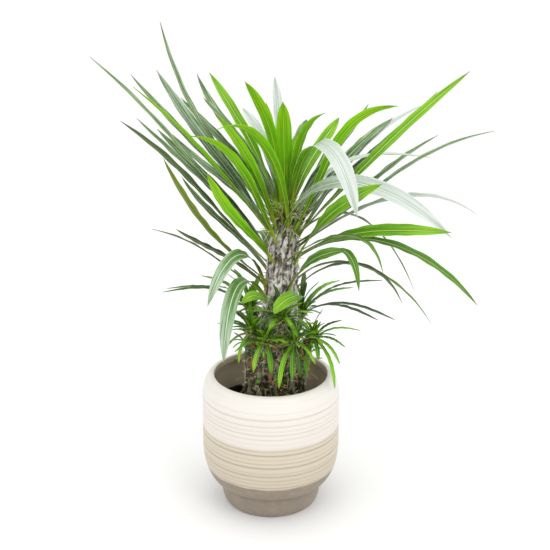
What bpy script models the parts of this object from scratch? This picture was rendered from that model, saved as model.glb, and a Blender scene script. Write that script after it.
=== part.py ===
"""A potted Madagascar palm: a spiny grey stem with long strap leaves and leafy offsets round its foot.

It grows in a black nursery pot that stands inside a ringed ceramic pot. Metres, +Z up, the origin under the
middle of the ceramic pot's foot. The viewer of the plant's best side stands at -Y.
"""

import itertools
import math
import random
from collections import namedtuple

import bmesh
import bpy
from mathutils import Matrix, Vector
from mathutils.bvhtree import BVHTree

MM = 0.001
GAP = 0.35 * MM  # left between pieces that touch

# Ceramic pot
POT_SIDES = 32
POT_HEIGHT = 171.3 * MM
BODY_RADIUS = 85.3 * MM
OPENING_RADIUS = 69.8 * MM
RIM_CREST_RADIUS = 72.0 * MM
SHOULDER_START = 142.0 * MM
BELLY_START = 80.0 * MM
FOOT_HEIGHT = 28.0 * MM
FOOT_TOP_RADIUS = 62.0 * MM
FOOT_NECK_RADIUS = 60.5 * MM
FOOT_FLAT_RADIUS = 54.5 * MM
FOOT_ROUNDING = 18.0 * MM
POT_FLOOR = 10.0 * MM
POT_WALL = 6.5 * MM
FOOT_WELL_RADIUS = 53.0 * MM
RING_HEIGHTS = (145.6, 137.5, 126.6, 99.8, 83.0)
RING_DEPTH = 1.1 * MM
RING_HALF_HEIGHT = 1.8 * MM

# Nursery pot and soil
NURSERY_CENTRE = Vector((-9 * MM, 2 * MM, 0))
NURSERY_SIDES = 28
NURSERY_BASE = POT_FLOOR + GAP
NURSERY_RIM = 130.0 * MM
NURSERY_LIP_HEIGHT = 6.0 * MM
NURSERY_BASE_RADIUS = 40.5 * MM
NURSERY_TOP_RADIUS = 58.0 * MM
NURSERY_LIP_RADIUS = 60.5 * MM
NURSERY_WALL = 1.4 * MM
DRAIN_COUNT = 5
DRAIN_RADIUS = 5.0 * MM
DRAIN_RING_RADIUS = 26.0 * MM
SOIL_TOP = 112.0 * MM
SOIL_RELIEF = 1.6 * MM
SOIL_RINGS = 5

# Trunk
TRUNK_SIDES = 18
TRUNK_FOOT = Vector((2, 4, 72)) * MM
TRUNK_TOP = Vector((18, 2, 368)) * MM
TRUNK_RADII = (
    (72, 19.0), (118, 19.5), (200, 20.0), (240, 20.5), (270, 19.0), (305, 17.3), (340, 15.8), (368, 13.5),
)
BARE_TOP = 117.0 * MM  # the cushions start above the soil
CUSHION_ROW = 6.0 * MM
CUSHION_RISE = 2.3 * MM
CUSHION_REACH = 7.6 * MM
CUSHION_STRETCH = 1.35
CUSHION_STEP = 1.2 * MM  # each cushion stands this much higher than the last
OUTSIDE = 60 * MM  # from the trunk's middle, well clear of its bark
GOLDEN_ANGLE = math.radians(137.508)
SPINE_LENGTHS = (8 * MM, 12 * MM)
SPINE_RADIUS = 0.75 * MM
SPINE_ROOT = 1.6 * MM
CLEARANCE = 0.8 * MM  # kept between pieces that pass one another

# Growing tip
TIP_FOOT = TRUNK_TOP + Vector((0, 0, GAP))
TIP_CORE = ((0, 13.2), (7, 11.5), (14, 8.0), (18, 3.0))
TIP_SIDES = 12

# Leaves
LEAF_STATIONS = (0.0, 0.07, 0.22, 0.42, 0.62, 0.8, 1.0)
PETIOLE_WIDTH = 3.2 * MM
PETIOLE_THICKNESS = 2.2 * MM
BLADE_THICKNESS = 0.7 * MM
MIDRIB_THICKNESS = 1.2 * MM
TIP_WIDTH = 0.9 * MM
WIDEST_AT = 0.6
CHANNEL = 0.14  # how far the blade's edges stand over its middle, per width

# What is tried in turn to bring a leaf clear of the others: its tip moves back or forward by millimetres, its
# first slope changes by degrees, and it grows from the next nearest cushion.
LEAF_SHIFTS = (0, 5, -5, 10, -10, 15, -15, 20, -20)
LEAF_LIFTS = (0, 4, -4, 8, -8, 12, -12)
CUSHION_CHOICES = 5

Leaf = namedtuple("Leaf", "height tip rise fall width roll swing reach", defaults=(0, 0, 0.4))

# Each leaf on the trunk, in millimetres and degrees: the height of its base, its tip, how steeply it leaves the
# trunk, its slope at the tip, its greatest width, then where needed its roll, the swing of its base round the
# trunk from the tip's direction, and how far its bend reaches along it.
UPPER_LEFT_LEAVES = (
    Leaf(366, (-126, 40, 590), 46, 78, 13, -5),
    Leaf(328, (-202, 0, 556), 45, 42, 12, -10),
    Leaf(358, (-169, 90, 523), 48, 45, 14),
    Leaf(344, (-147, -60, 532), 52, 42, 12, 15),
    Leaf(338, (-135, 60, 532), 56, 58, 16, -25),
    Leaf(352, (-112, 120, 490), 58, 36, 15),
    Leaf(360, (-89, 90, 524), 62, 66, 16),
    Leaf(364, (-55, -115, 512), 65, 40, 13, 10),
    Leaf(362, (-56, -135, 499), 74, -8, 13, 15),
    Leaf(318, (-165, -40, 491), 45, 38, 13, -25),
    Leaf(326, (-163, 80, 472), 45, 40, 12),
    Leaf(318, (-142, 110, 453), 45, 38, 13, -15),
    Leaf(334, (-126, 140, 440), 48, 35, 13),
    Leaf(350, (-86, -100, 487), 56, 12, 14, 20),
)
LOWER_LEFT_LEAVES = (
    Leaf(294, (-116, -70, 456), 38, 66, 13, 20),
    Leaf(288, (-112, 100, 394), 42, 50, 12),
    Leaf(324, (-67, -100, 447), 50, 62, 15, 20),
    Leaf(276, (-133, -60, 373), 38, 20, 11),
    Leaf(284, (-120, 85, 330), 34, 22, 11),
    Leaf(286, (-70, -90, 293), 74, -62, 15, -40, 0, 0.65),
    Leaf(268, (-53, -100, 227), 60, -84, 18, -15, 0, 0.75),
    Leaf(262, (-33, -72, 288), 40, -25, 12, -50),
)
UPPER_RIGHT_LEAVES = (
    Leaf(352, (222, -10, 541), 48, 40, 12, 50),
    Leaf(352, (202, 90, 502), 43, 43, 13),
    Leaf(346, (187, 110, 484), 50, 15, 14),
    Leaf(352, (138, -60, 511), 56, 5, 12, -55),
    Leaf(364, (148, 100, 472), 55, 25, 13, 15),
    Leaf(368, (119, 90, 487), 62, 50, 14),
    Leaf(340, (201, 60, 455), 38, 25, 12),
    Leaf(360, (260, 20, 468), 33, 10, 12),
    Leaf(366, (190, 40, 432), 64, -12, 14, 0, 0, 0.5),
    Leaf(364, (201, -75, 367), 74, -42, 20, 45, 0, 0.55),
    Leaf(336, (245, 15, 369), 34, -35, 11, 10),
    Leaf(312, (118, -110, 437), 60, 28, 18, 68),
    Leaf(326, (198, -90, 378), 34, 5, 16, 45),
    Leaf(318, (244, -30, 270), 36, -50, 12, 25),
)
LOWER_RIGHT_LEAVES = (
    Leaf(330, (128, -60, 321), 38, -75, 11, 0, 0, 0.6),
    Leaf(334, (177, 30, 267), 42, -68, 11, 0, 0, 0.55),
    Leaf(282, (80, -130, 370), 52, 18, 14, 62),
    Leaf(300, (98, -100, 313), 42, -80, 12, 0, 0, 0.6),
    Leaf(278, (155, -30, 273), 50, -65, 12, 0, 0, 0.5),
    Leaf(296, (195, 0, 235), 45, -60, 11),
    Leaf(276, (4, -82, 279), 20, -32, 16, -35, 48),
)
REAR_LEAVES = (
    Leaf(340, (40, 190, 440), 50, 15, 14),
    Leaf(322, (95, 175, 440), 45, 20, 14),
    Leaf(312, (-40, 195, 425), 45, 20, 14),
    Leaf(296, (60, 180, 345), 40, -25, 13),
    Leaf(282, (-20, 160, 300), 40, -35, 12),
)
TRUNK_LEAVES = UPPER_LEFT_LEAVES + LOWER_LEFT_LEAVES + UPPER_RIGHT_LEAVES + LOWER_RIGHT_LEAVES + REAR_LEAVES

# The youngest leaves, which stand on the growing tip. Their heights are measured as the others' are.
TIP_LEAVES = (
    Leaf(374, (-66, -40, 544), 74, 58, 14, -65),
    Leaf(378, (-28, -30, 533), 86, 50, 13, 45),
    Leaf(376, (-35, 110, 479), 66, 20, 15),
    Leaf(378, (5, 70, 523), 80, 62, 16, 30),
    Leaf(380, (14, -20, 509), 86, 78, 18),
    Leaf(378, (60, -50, 502), 80, 22, 14),
    Leaf(374, (84, 90, 471), 66, 35, 14, 35),
    Leaf(376, (93, -110, 401), 80, -68, 22, 15, 0, 0.85),
    Leaf(376, (45, 125, 462), 66, 15, 14),
    Leaf(374, (-80, 60, 500), 66, 40, 14),
    Leaf(380, (30, 30, 462), 84, 60, 11),
    Leaf(380, (-5, 25, 500), 84, 75, 12),
)

# Offsets: where each stem leaves the soil, its head, its radius at foot and head, and its leaves, each given by
# compass direction, rise, length and width.
Offset = namedtuple("Offset", "name foot head radii leaves")
SMALL = 7  # the usual width, in millimetres
OFFSETS = (
    Offset("offset_left", (-25.2, -16.5), (-22, -26, 235), (7.0, 6.0), (
        (-140, -62, 44, SMALL), (-60, -60, 38, 6), (-165, -35, 46, SMALL), (172, 12, 45, SMALL),
        (150, 38, 42, 6), (-100, 30, 40, SMALL), (100, 55, 38, 6),
    )),
    Offset("offset_front_left", (-11.8, -27.1), (-7, -39, 228), (7.0, 6.0), (
        (-68, -62, 42, 8), (-162, -14, 40, SMALL), (-120, -50, 42, SMALL), (-40, 12, 38, SMALL),
        (-105, 42, 44, 8), (160, 40, 36, 6),
    )),
    Offset("offset_front", (5, -29.9), (14, -31, 254), (7.0, 6.0), (
        (-140, -42, 36, 8), (-160, 22, 44, SMALL), (-25, 20, 44, SMALL), (-90, 35, 40, SMALL),
        (-60, -20, 38, SMALL), (175, 55, 40, 6), (5, 58, 40, 6), (-115, 0, 40, SMALL),
    )),
    Offset("offset_front_right", (21, -24.2), (28, -40, 227), (7.0, 6.0), (
        (-125, -58, 62, 8), (-98, -68, 48, SMALL), (-72, -62, 44, SMALL), (-30, -40, 38, SMALL),
        (-90, 45, 40, 6), (-15, 30, 38, 6), (-150, 25, 36, 6),
    )),
    Offset("offset_right", (32.3, -11.4), (51, -22, 226), (7.0, 6.0), (
        (-42, -60, 72, 8), (-30, -38, 48, 8), (-12, -14, 42, 8), (8, 6, 62, SMALL),
        (-112, -62, 50, SMALL), (-72, -52, 30, SMALL), (25, 24, 44, 6), (-60, 50, 40, 6),
    )),
    Offset("offset_back_right", (20, 30), (38, 36, 236), (8.0, 6.5), (
        (-8, 26, 120, 9), (-15, 1, 128, 10), (-28, 5, 112, 9), (-1, -3, 118, 9),
        (20, 20, 80, 9), (50, 15, 90, 9), (85, 25, 80, 8), (120, 40, 60, 8), (0, 65, 50, 6),
    )),
    Offset("offset_back_left", (-20, 31), (-25, 40, 240), (8.0, 6.5), (
        (-166, 16, 125, 9), (176, 13, 117, 9), (-150, 35, 80, 8), (145, 20, 90, 9),
        (110, 25, 80, 8), (75, 35, 60, 8), (-178, 60, 60, 6),
    )),
)
OFFSET_SIDES = 8
OFFSET_ROW = 13.0 * MM
OFFSET_BOTTOM = 92.0 * MM
OFFSET_DOME = 4.0 * MM
OFFSET_CUSHION_RISE = 1.3 * MM
OFFSET_CUSHION_STEP = 3.4 * MM
OFFSET_SPINES = 6
OFFSET_SPINE_LENGTHS = (5 * MM, 8 * MM)
SMALL_LEAF_STATIONS = (0.0, 0.3, 0.65, 1.0)


def clear_scene():
    for obj in list(bpy.data.objects):
        bpy.data.objects.remove(obj)


def finish(name, colour, roughness):
    """A plain Principled material for one kind of piece."""
    material = bpy.data.materials.new(name)
    material.use_nodes = True
    shader = material.node_tree.nodes["Principled BSDF"]
    shader.inputs["Base Color"].default_value = (*colour, 1)
    shader.inputs["Roughness"].default_value = roughness
    shader.inputs["Metallic"].default_value = 0
    material.diffuse_color = (*colour, 1)
    return material


def mesh_object(name, points, faces, material, sharp_degrees=30):
    """A closed mesh with its faces turned out, as one object."""
    work = bmesh.new()
    corners = [work.verts.new(point) for point in points]
    for face in faces:
        work.faces.new([corners[i] for i in face])
    bmesh.ops.recalc_face_normals(work, faces=work.faces)
    if work.calc_volume(signed=True) < 0:
        bmesh.ops.reverse_faces(work, faces=work.faces)
    mesh = bpy.data.meshes.new(name)
    work.to_mesh(mesh)
    work.free()
    mesh.materials.append(material)
    mesh.shade_smooth()
    mesh.set_sharp_from_angle(angle=math.radians(sharp_degrees))
    obj = bpy.data.objects.new(name, mesh)
    bpy.context.scene.collection.objects.link(obj)
    return obj


def lathe(name, profile, sides, centre, material):
    """Turns a profile of (radius, height) points about a vertical line. Points on the line close the ends."""
    points = []
    rings = []
    for radius, height in profile:
        rings.append(len(points))
        if radius == 0:
            points.append(centre + Vector((0, 0, height)))
            continue
        for side in range(sides):
            turn = 2 * math.pi * side / sides
            points.append(centre + Vector((radius * math.cos(turn), radius * math.sin(turn), height)))
    faces = []
    for ring, above in zip(range(len(profile) - 1), range(1, len(profile))):
        a, b = rings[ring], rings[above]
        for side in range(sides):
            after = (side + 1) % sides
            if profile[ring][0] == 0:
                faces.append((a, b + side, b + after))
            elif profile[above][0] == 0:
                faces.append((a + side, a + after, b))
            else:
                faces.append((a + side, a + after, b + after, b + side))
    return mesh_object(name, points, faces, material)


def boolean(obj, operation, others):
    """Joins the others to obj, or cuts them from it, applies that, and removes them."""
    helpers = bpy.data.collections.new("helpers")
    bpy.context.scene.collection.children.link(helpers)
    for other in others:
        for home in list(other.users_collection):
            home.objects.unlink(other)
        helpers.objects.link(other)
    modifier = obj.modifiers.new(operation.title(), "BOOLEAN")
    modifier.operation = operation
    modifier.operand_type = "COLLECTION"
    modifier.collection = helpers
    modifier.solver = "MANIFOLD"
    bpy.context.view_layer.update()
    graph = bpy.context.evaluated_depsgraph_get()
    mesh = bpy.data.meshes.new_from_object(obj.evaluated_get(graph))
    mesh.name = obj.name
    obj.modifiers.clear()
    obj.data = mesh
    for other in others:
        bpy.data.objects.remove(other)
    bpy.data.collections.remove(helpers)


def rounding(start, end, steps):
    """Points of a rounded corner that leaves start level and meets end upright, both (radius, height)."""
    points = []
    for step in range(1, steps + 1):
        turn = 0.5 * math.pi * step / steps
        across, up = math.sin(turn), 1 - math.cos(turn)
        points.append((start[0] + (end[0] - start[0]) * across, start[1] + (end[1] - start[1]) * up))
    return points


def wall_radius(height):
    """Outer radius of the pot between its foot and its rim, without the throwing rings."""
    if height < BELLY_START:
        part = (BELLY_START - height) / (BELLY_START - FOOT_HEIGHT)
        return FOOT_NECK_RADIUS + (BODY_RADIUS - FOOT_NECK_RADIUS) * max(0, 1 - part**2.1) ** 0.5
    if height > SHOULDER_START:
        part = (height - SHOULDER_START) / (POT_HEIGHT - SHOULDER_START)
        return RIM_CREST_RADIUS + (BODY_RADIUS - RIM_CREST_RADIUS) * max(0, 1 - part**2) ** 0.5
    return BODY_RADIUS


def pot_profile():
    """The ceramic pot's section, from the middle of its underside out, up the wall, over the rim and inside."""
    profile = [(0, 0), (FOOT_FLAT_RADIUS, 0)]
    profile += rounding((FOOT_FLAT_RADIUS, 0), (FOOT_TOP_RADIUS, FOOT_ROUNDING), 3)
    profile += [(FOOT_TOP_RADIUS + 0.3 * MM, FOOT_HEIGHT - 2 * MM), (FOOT_NECK_RADIUS, FOOT_HEIGHT)]
    heights = [FOOT_HEIGHT + step * MM for step in (1.2, 6, 14, 25, 38)]
    for ring in sorted(RING_HEIGHTS):
        ring *= MM
        heights += [ring - RING_HALF_HEIGHT, ring, ring + RING_HALF_HEIGHT]
    heights += [SHOULDER_START + step * MM for step in (11, 19, 25)]
    for height in heights:
        groove = any(abs(height - ring * MM) < 0.1 * MM for ring in RING_HEIGHTS)
        profile.append((wall_radius(height) - RING_DEPTH * groove, height))
    profile += [(RIM_CREST_RADIUS, POT_HEIGHT), (OPENING_RADIUS + 0.8 * MM, POT_HEIGHT)]
    profile += [(OPENING_RADIUS, POT_HEIGHT - 1.5 * MM), (OPENING_RADIUS + 0.7 * MM, POT_HEIGHT - 8 * MM)]
    inner_top, inner_bottom = SHOULDER_START + 2 * MM, BELLY_START - 8 * MM
    profile += [(76.5 * MM, SHOULDER_START + 12 * MM), (BODY_RADIUS - POT_WALL, inner_top)]
    profile += [(BODY_RADIUS - POT_WALL, inner_bottom), (74 * MM, 55 * MM), (64 * MM, 41 * MM)]
    profile += [(FOOT_WELL_RADIUS + 2.5 * MM, 34 * MM), (FOOT_WELL_RADIUS, POT_FLOOR + 2 * MM)]
    profile += [(FOOT_WELL_RADIUS - 2 * MM, POT_FLOOR), (0, POT_FLOOR)]
    return profile


def make_pot():
    glaze = finish("glaze", (0.93, 0.88, 0.80), 0.45)
    return lathe("pot", pot_profile(), POT_SIDES, Vector(), glaze)


def nursery_radius(height):
    """Outer radius of the nursery pot's tapering wall."""
    part = (height - NURSERY_BASE) / (NURSERY_RIM - NURSERY_BASE)
    return NURSERY_BASE_RADIUS + (NURSERY_TOP_RADIUS - NURSERY_BASE_RADIUS) * part


def make_nursery_pot():
    lip = NURSERY_RIM - NURSERY_LIP_HEIGHT
    floor = NURSERY_BASE + NURSERY_WALL
    profile = [
        (0, NURSERY_BASE),
        (NURSERY_BASE_RADIUS, NURSERY_BASE),
        (nursery_radius(lip), lip),
        (NURSERY_LIP_RADIUS, lip),
        (NURSERY_LIP_RADIUS, NURSERY_RIM),
        (nursery_radius(NURSERY_RIM) - NURSERY_WALL, NURSERY_RIM),
        (nursery_radius(floor) - NURSERY_WALL, floor),
        (0, floor),
    ]
    plastic = finish("black_plastic", (0.02, 0.02, 0.02), 0.4)
    pot = lathe("nursery_pot", profile, NURSERY_SIDES, NURSERY_CENTRE, plastic)
    drains = []
    for index in range(DRAIN_COUNT):
        turn = 2 * math.pi * index / DRAIN_COUNT
        centre = NURSERY_CENTRE + DRAIN_RING_RADIUS * Vector((math.cos(turn), math.sin(turn), 0))
        hole = [(0, 5 * MM), (DRAIN_RADIUS, 5 * MM), (DRAIN_RADIUS, 20 * MM), (0, 20 * MM)]
        drains.append(lathe(f"drain_{index}", hole, 8, centre, plastic))
    boolean(pot, "DIFFERENCE", drains)
    return pot


def soil_profile():
    """The root ball's section inside the nursery pot, its top made of rings that the relief then moves."""
    floor = NURSERY_BASE + NURSERY_WALL + GAP
    inside = NURSERY_WALL + GAP
    side_top = SOIL_TOP - 3 * MM
    edge = nursery_radius(side_top) - inside
    profile = [(0, floor), (nursery_radius(floor) - inside, floor), (edge, side_top)]
    for ring in range(1, SOIL_RINGS + 1):
        profile.append((edge * (1 - ring / (SOIL_RINGS + 0.6)), SOIL_TOP))
    profile.append((0, SOIL_TOP))
    return profile


def make_soil(stems):
    """The soil, with a plain hole for each stem, given as its foot, its radius and its number of sides."""
    brown = finish("soil", (0.05, 0.035, 0.025), 0.95)
    soil = lathe("soil", soil_profile(), NURSERY_SIDES, NURSERY_CENTRE, brown)
    draw = random.Random(7)
    for vertex in soil.data.vertices:
        if vertex.co.z > SOIL_TOP - 1 * MM:
            vertex.co.z += draw.uniform(-SOIL_RELIEF, SOIL_RELIEF)
    holes = []
    for index, (foot, radius, sides) in enumerate(stems):
        hole = [(0, foot.z - GAP), (radius + GAP, foot.z - GAP), (radius + GAP, 130 * MM), (0, 130 * MM)]
        holes.append(lathe(f"hole_{index}", hole, sides, Vector((foot.x, foot.y, 0)), brown))
    boolean(soil, "DIFFERENCE", holes)
    return soil


def between(pairs, value):
    """Straight-line reading of a list of (position, value) pairs."""
    for (low, first), (high, second) in zip(pairs, pairs[1:]):
        if value <= high:
            return first + (second - first) * max(0, value - low) / (high - low)
    return pairs[-1][1]


def trunk_centre(height):
    """The trunk stands plumb in the soil and leans above it."""
    part = max(0, height - BARE_TOP) / (TRUNK_TOP.z - BARE_TOP)
    spot = TRUNK_FOOT.lerp(TRUNK_TOP, part)
    return Vector((spot.x, spot.y, height))


def cushions():
    """Compass direction and height of each leaf cushion, in a golden spiral up the trunk."""
    count = int((TRUNK_TOP.z - 4 * MM - BARE_TOP - 4 * MM) / CUSHION_STEP)
    return [(index * GOLDEN_ANGLE, BARE_TOP + 4 * MM + index * CUSHION_STEP) for index in range(count)]


def swelling(turn, height, radius, spots, reach, rise):
    """How far a surface swells out at a point, which falls off from the nearest cushion."""
    nearest = reach
    for spot_turn, spot_height in spots:
        if abs(spot_height - height) < reach * CUSHION_STRETCH:
            across = math.remainder(spot_turn - turn, 2 * math.pi) * radius
            nearest = min(nearest, math.hypot(across, (spot_height - height) / CUSHION_STRETCH))
    return rise * (1 - (nearest / reach) ** 2)


def trunk_surface(turn, height):
    radius = between(TRUNK_RADII, height / MM) * MM
    if BARE_TOP < height < TRUNK_TOP.z:
        radius += swelling(turn, height, radius, cushions(), CUSHION_REACH, CUSHION_RISE)
    return trunk_centre(height) + radius * Vector((math.cos(turn), math.sin(turn), 0))


def tube(name, rings, material):
    """A closed mesh through rings of equal size, with a fan over each end."""
    sides = len(rings[0])
    points = [point for ring in rings for point in ring]
    faces = [tuple(range(sides)), tuple(range(len(points) - sides, len(points)))]
    for start in range(0, len(points) - sides, sides):
        for side in range(sides):
            after = (side + 1) % sides
            faces.append((start + side, start + after, start + sides + after, start + sides + side))
    return mesh_object(name, points, faces, material)


def make_bare_trunk():
    """The trunk with its cushions, before its spines."""
    heights = [TRUNK_FOOT.z, BARE_TOP]
    rows = int((TRUNK_TOP.z - BARE_TOP) / CUSHION_ROW)
    heights += [BARE_TOP + (TRUNK_TOP.z - BARE_TOP) * (row + 1) / rows for row in range(rows)]
    rings = []
    for height in heights:
        turns = [2 * math.pi * side / TRUNK_SIDES for side in range(TRUNK_SIDES)]
        rings.append([trunk_surface(turn, height) for turn in turns])
    return tube("trunk", rings, finish("bark", (0.42, 0.40, 0.37), 0.8))


def spine(root, aim, length, material):
    """One three-sided spine, its root sunk into the stem."""
    aim = aim.normalized()
    side = aim.orthogonal().normalized()
    start = root - aim * SPINE_ROOT
    ring = [start + SPINE_RADIUS * (Matrix.Rotation(2 * math.pi * k / 3, 3, aim) @ side) for k in range(3)]
    points = ring + [root + aim * length]
    return mesh_object("spine", points, [(0, 1, 2), (0, 1, 3), (1, 2, 3), (2, 0, 3)], material)


def blade_width(part, width):
    """Width of a strap leaf at a part of its length: a narrow stalk, widest past the middle, a fine tip."""
    if part < WIDEST_AT:
        full = math.sin(0.5 * math.pi * part / WIDEST_AT) ** 1.02
        return PETIOLE_WIDTH + (width - PETIOLE_WIDTH) * full
    late = (part - WIDEST_AT) / (1 - WIDEST_AT)
    return TIP_WIDTH + (width - TIP_WIDTH) * (1 - late**3)


def curve_point(ends, part):
    """A point of the smooth curve through the first and last of four guide points, and its direction there."""
    a, b, c, d = ends
    rest = 1 - part
    point = rest**3 * a + 3 * rest**2 * part * b + 3 * rest * part**2 * c + part**3 * d
    along = 3 * rest**2 * (b - a) + 6 * rest * part * (c - b) + 3 * part**2 * (d - c)
    return point, along.normalized()


def heading(turn, slope):
    """Unit vector with a compass direction and a slope over the horizon."""
    level = math.cos(slope)
    return Vector((level * math.cos(turn), level * math.sin(turn), math.sin(slope)))


def leaf_guides(base, turn, leaf_tip, rise, fall, reach):
    """The four guide points of a leaf's midline."""
    span = (leaf_tip - base).length
    flat = leaf_tip - base
    out = math.atan2(flat.y, flat.x)
    start = base + heading(turn, math.radians(rise)) * span * reach
    return base, start, leaf_tip - heading(out, math.radians(fall)) * span * reach, leaf_tip


def blade_ring(centre, side, face, width, middle):
    """Six points round a blade's section, channelled along its middle."""
    lift = CHANNEL * (width - PETIOLE_WIDTH) if width > PETIOLE_WIDTH else 0
    left, right = side * width / 2 + face * lift, -side * width / 2 + face * lift
    edge = face * min(BLADE_THICKNESS, middle) / 2
    core = face * middle / 2
    return [centre + part for part in (left + edge, core, right + edge, right - edge, -core, left - edge)]


def leaf_mesh(name, guides, width, roll, stations, material, seat=None):
    """A leaf as one thin closed solid. With a seat, its base lies flat on the stem there."""
    flat = guides[3] - guides[0]
    level = Vector((-flat.y, flat.x, 0)).normalized()
    rings = []
    for part in stations:
        centre, along = curve_point(guides, part)
        side = (level - along * level.dot(along)).normalized()
        side = Matrix.Rotation(math.radians(roll) * min(1, 2 * part), 3, along) @ side
        middle = max(MIDRIB_THICKNESS, PETIOLE_THICKNESS - part * 8 * MM) if part < 1 else BLADE_THICKNESS
        rings.append(blade_ring(centre, side, along.cross(side), blade_width(part, width), middle))
    if seat:
        rings[0] = seated_ring(guides[0], level, *seat)
    points = [point for ring in rings for point in ring]
    faces = [(0, 1, 4, 5), (1, 2, 3, 4)]
    last = len(points) - 6
    faces += [(last, last + 1, last + 4, last + 5), (last + 1, last + 2, last + 3, last + 4)]
    for start in range(0, last, 6):
        for a, b in ((0, 1), (1, 2), (5, 4), (4, 3), (2, 3), (5, 0)):
            faces.append((start + a, start + b, start + 6 + b))
            faces.append((start + a, start + 6 + b, start + 6 + a))
    return mesh_object(name, points, faces, material)


def seated_ring(base, level, normal, stem):
    """The leaf's foot, lying in the stem's own slope and lifted clear of it by the gap."""
    side = (level - normal * level.dot(normal)).normalized()
    ring = blade_ring(base, side, normal.cross(side), PETIOLE_WIDTH, PETIOLE_THICKNESS)
    clear = []
    for point in ring:
        hit = stem.ray_cast(point + normal * 8 * MM, -normal, 16 * MM)
        if hit[0]:
            clear.append(hit[3] - 8 * MM)
    lift = GAP - min(clear)
    return [point + normal * lift for point in ring]


def tree_of(obj):
    points = [vertex.co.copy() for vertex in obj.data.vertices]
    return BVHTree.FromPolygons(points, [tuple(face.vertices) for face in obj.data.polygons])


def cushions_near(turn, height, spots):
    """The free cushions nearest to where a leaf should grow, the nearest first."""
    def distance(spot):
        return math.hypot(math.remainder(spot[0] - turn, 2 * math.pi) * 16 * MM, spot[1] - height)
    return sorted(spots, key=distance)[:CUSHION_CHOICES]


def leaf_tip_and_turn(leaf):
    tip = Vector(leaf.tip) * MM
    out = tip - trunk_centre(leaf.height * MM)
    return tip, math.atan2(out.y, out.x) + math.radians(leaf.swing)


def make_trunk_leaf(name, leaf, stem, spots, others, material):
    """A strap leaf on its own cushion, moved a little where another leaf is in its way."""
    tip, aim = leaf_tip_and_turn(leaf)
    choices = cushions_near(aim, leaf.height * MM, spots)
    for spot, lift, shift in itertools.product(choices, LEAF_LIFTS, LEAF_SHIFTS):
        turn, height = spot
        out = heading(turn, 0)
        hit, normal, _, _ = stem.ray_cast(trunk_centre(height) + out * OUTSIDE, -out)
        start_turn = turn + math.remainder(aim - turn, 2 * math.pi) / 2
        end = tip + Vector((0, shift * MM, 0))
        guides = leaf_guides(hit, start_turn, end, leaf.rise + lift, leaf.fall, leaf.reach)
        made = leaf_mesh(name, guides, leaf.width * MM, leaf.roll, LEAF_STATIONS, material, (normal, stem))
        if not crosses(made, others) and not tree_of(made).overlap(stem):
            spots.remove(spot)
            return made
        bpy.data.objects.remove(made)
    raise RuntimeError(f"{name} finds no clear place")


def make_trunk_leaves(trunk, tip):
    green = finish("leaf", (0.16, 0.36, 0.05), 0.35)
    stem = tree_of(trunk)
    spots = cushions()
    placed = [tree_of(tip)]
    leaves = []
    for number, leaf in enumerate(TRUNK_LEAVES, 1):
        made = make_trunk_leaf(f"leaf_{number:02d}", leaf, stem, spots, placed, green)
        placed.append(tree_of(made))
        leaves.append(made)
    return leaves


def make_tip():
    """The growing tip, with its youngest leaves joined to it."""
    green = finish("young_leaf", (0.30, 0.52, 0.06), 0.35)
    profile = [(0, 0)] + [(radius * MM, height * MM) for height, radius in TIP_CORE] + [(0, 19.5 * MM)]
    tip = lathe("growing_tip", profile, TIP_SIDES, TIP_FOOT, green)
    leaves = []
    for leaf in TIP_LEAVES:
        end, turn = leaf_tip_and_turn(leaf)
        height = leaf.height * MM - TIP_FOOT.z
        radius = between(TIP_CORE, height / MM) * MM - 2.5 * MM
        base = TIP_FOOT + heading(turn, 0) * radius + Vector((0, 0, height))
        guides = leaf_guides(base, turn, end, leaf.rise, leaf.fall, leaf.reach)
        leaves.append(leaf_mesh("young", guides, leaf.width * MM, leaf.roll, LEAF_STATIONS, green))
    boolean(tip, "UNION", leaves)
    return tip


def offset_centre(offset, height):
    """An offset stands plumb in the soil and then bends out towards its head."""
    head = Vector(offset.head) * MM
    part = max(0, height - BARE_TOP) / (head.z - BARE_TOP)
    return Vector((offset.foot[0] * MM, offset.foot[1] * MM, height)).lerp(head, part**1.5 if part < 1 else 1)


def offset_radius(offset, height):
    head = offset.head[2] * MM
    part = max(0, height - BARE_TOP) / (head - BARE_TOP)
    low, high = offset.radii
    return (low + (high - low) * part) * MM


def make_offset_stem(offset, material):
    head = offset.head[2] * MM
    rows = int((head - BARE_TOP) / OFFSET_ROW)
    heights = [OFFSET_BOTTOM, BARE_TOP]
    heights += [BARE_TOP + (head - BARE_TOP) * (row + 1) / rows for row in range(rows)]
    spots = [(index * GOLDEN_ANGLE, BARE_TOP + 5 * MM + index * OFFSET_CUSHION_STEP) for index in range(40)]
    rings = []
    for height in heights:
        centre = offset_centre(offset, height)
        radius = offset_radius(offset, height)
        ring = []
        for side in range(OFFSET_SIDES):
            turn = 2 * math.pi * side / OFFSET_SIDES
            swell = 0
            if BARE_TOP < height < head:
                swell = swelling(turn, height, radius, spots, CUSHION_REACH, OFFSET_CUSHION_RISE)
            ring.append(centre + (radius + swell) * heading(turn, 0))
        rings.append(ring)
    top = offset_centre(offset, head) + Vector((0, 0, OFFSET_DOME))
    small = 0.45 * offset_radius(offset, head)
    rings.append([top + small * heading(2 * math.pi * side / OFFSET_SIDES, 0) for side in range(OFFSET_SIDES)])
    return tube(offset.name, rings, material)


def small_leaf(offset, turn, rise, length, width, material):
    """One leaf of an offset. It grows out of the head and arches over by its own length."""
    centre = offset_centre(offset, offset.head[2] * MM)
    turn = math.radians(turn)
    root = centre + heading(turn, 0) * 2.5 * MM
    chord = heading(turn, math.radians(rise)) * length * 0.9 * MM
    tip = root + chord
    guides = leaf_guides(root, turn, tip, rise + 32, rise - 22, 0.42)
    return leaf_mesh("small", guides, width * MM, 0, SMALL_LEAF_STATIONS, material)


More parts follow.
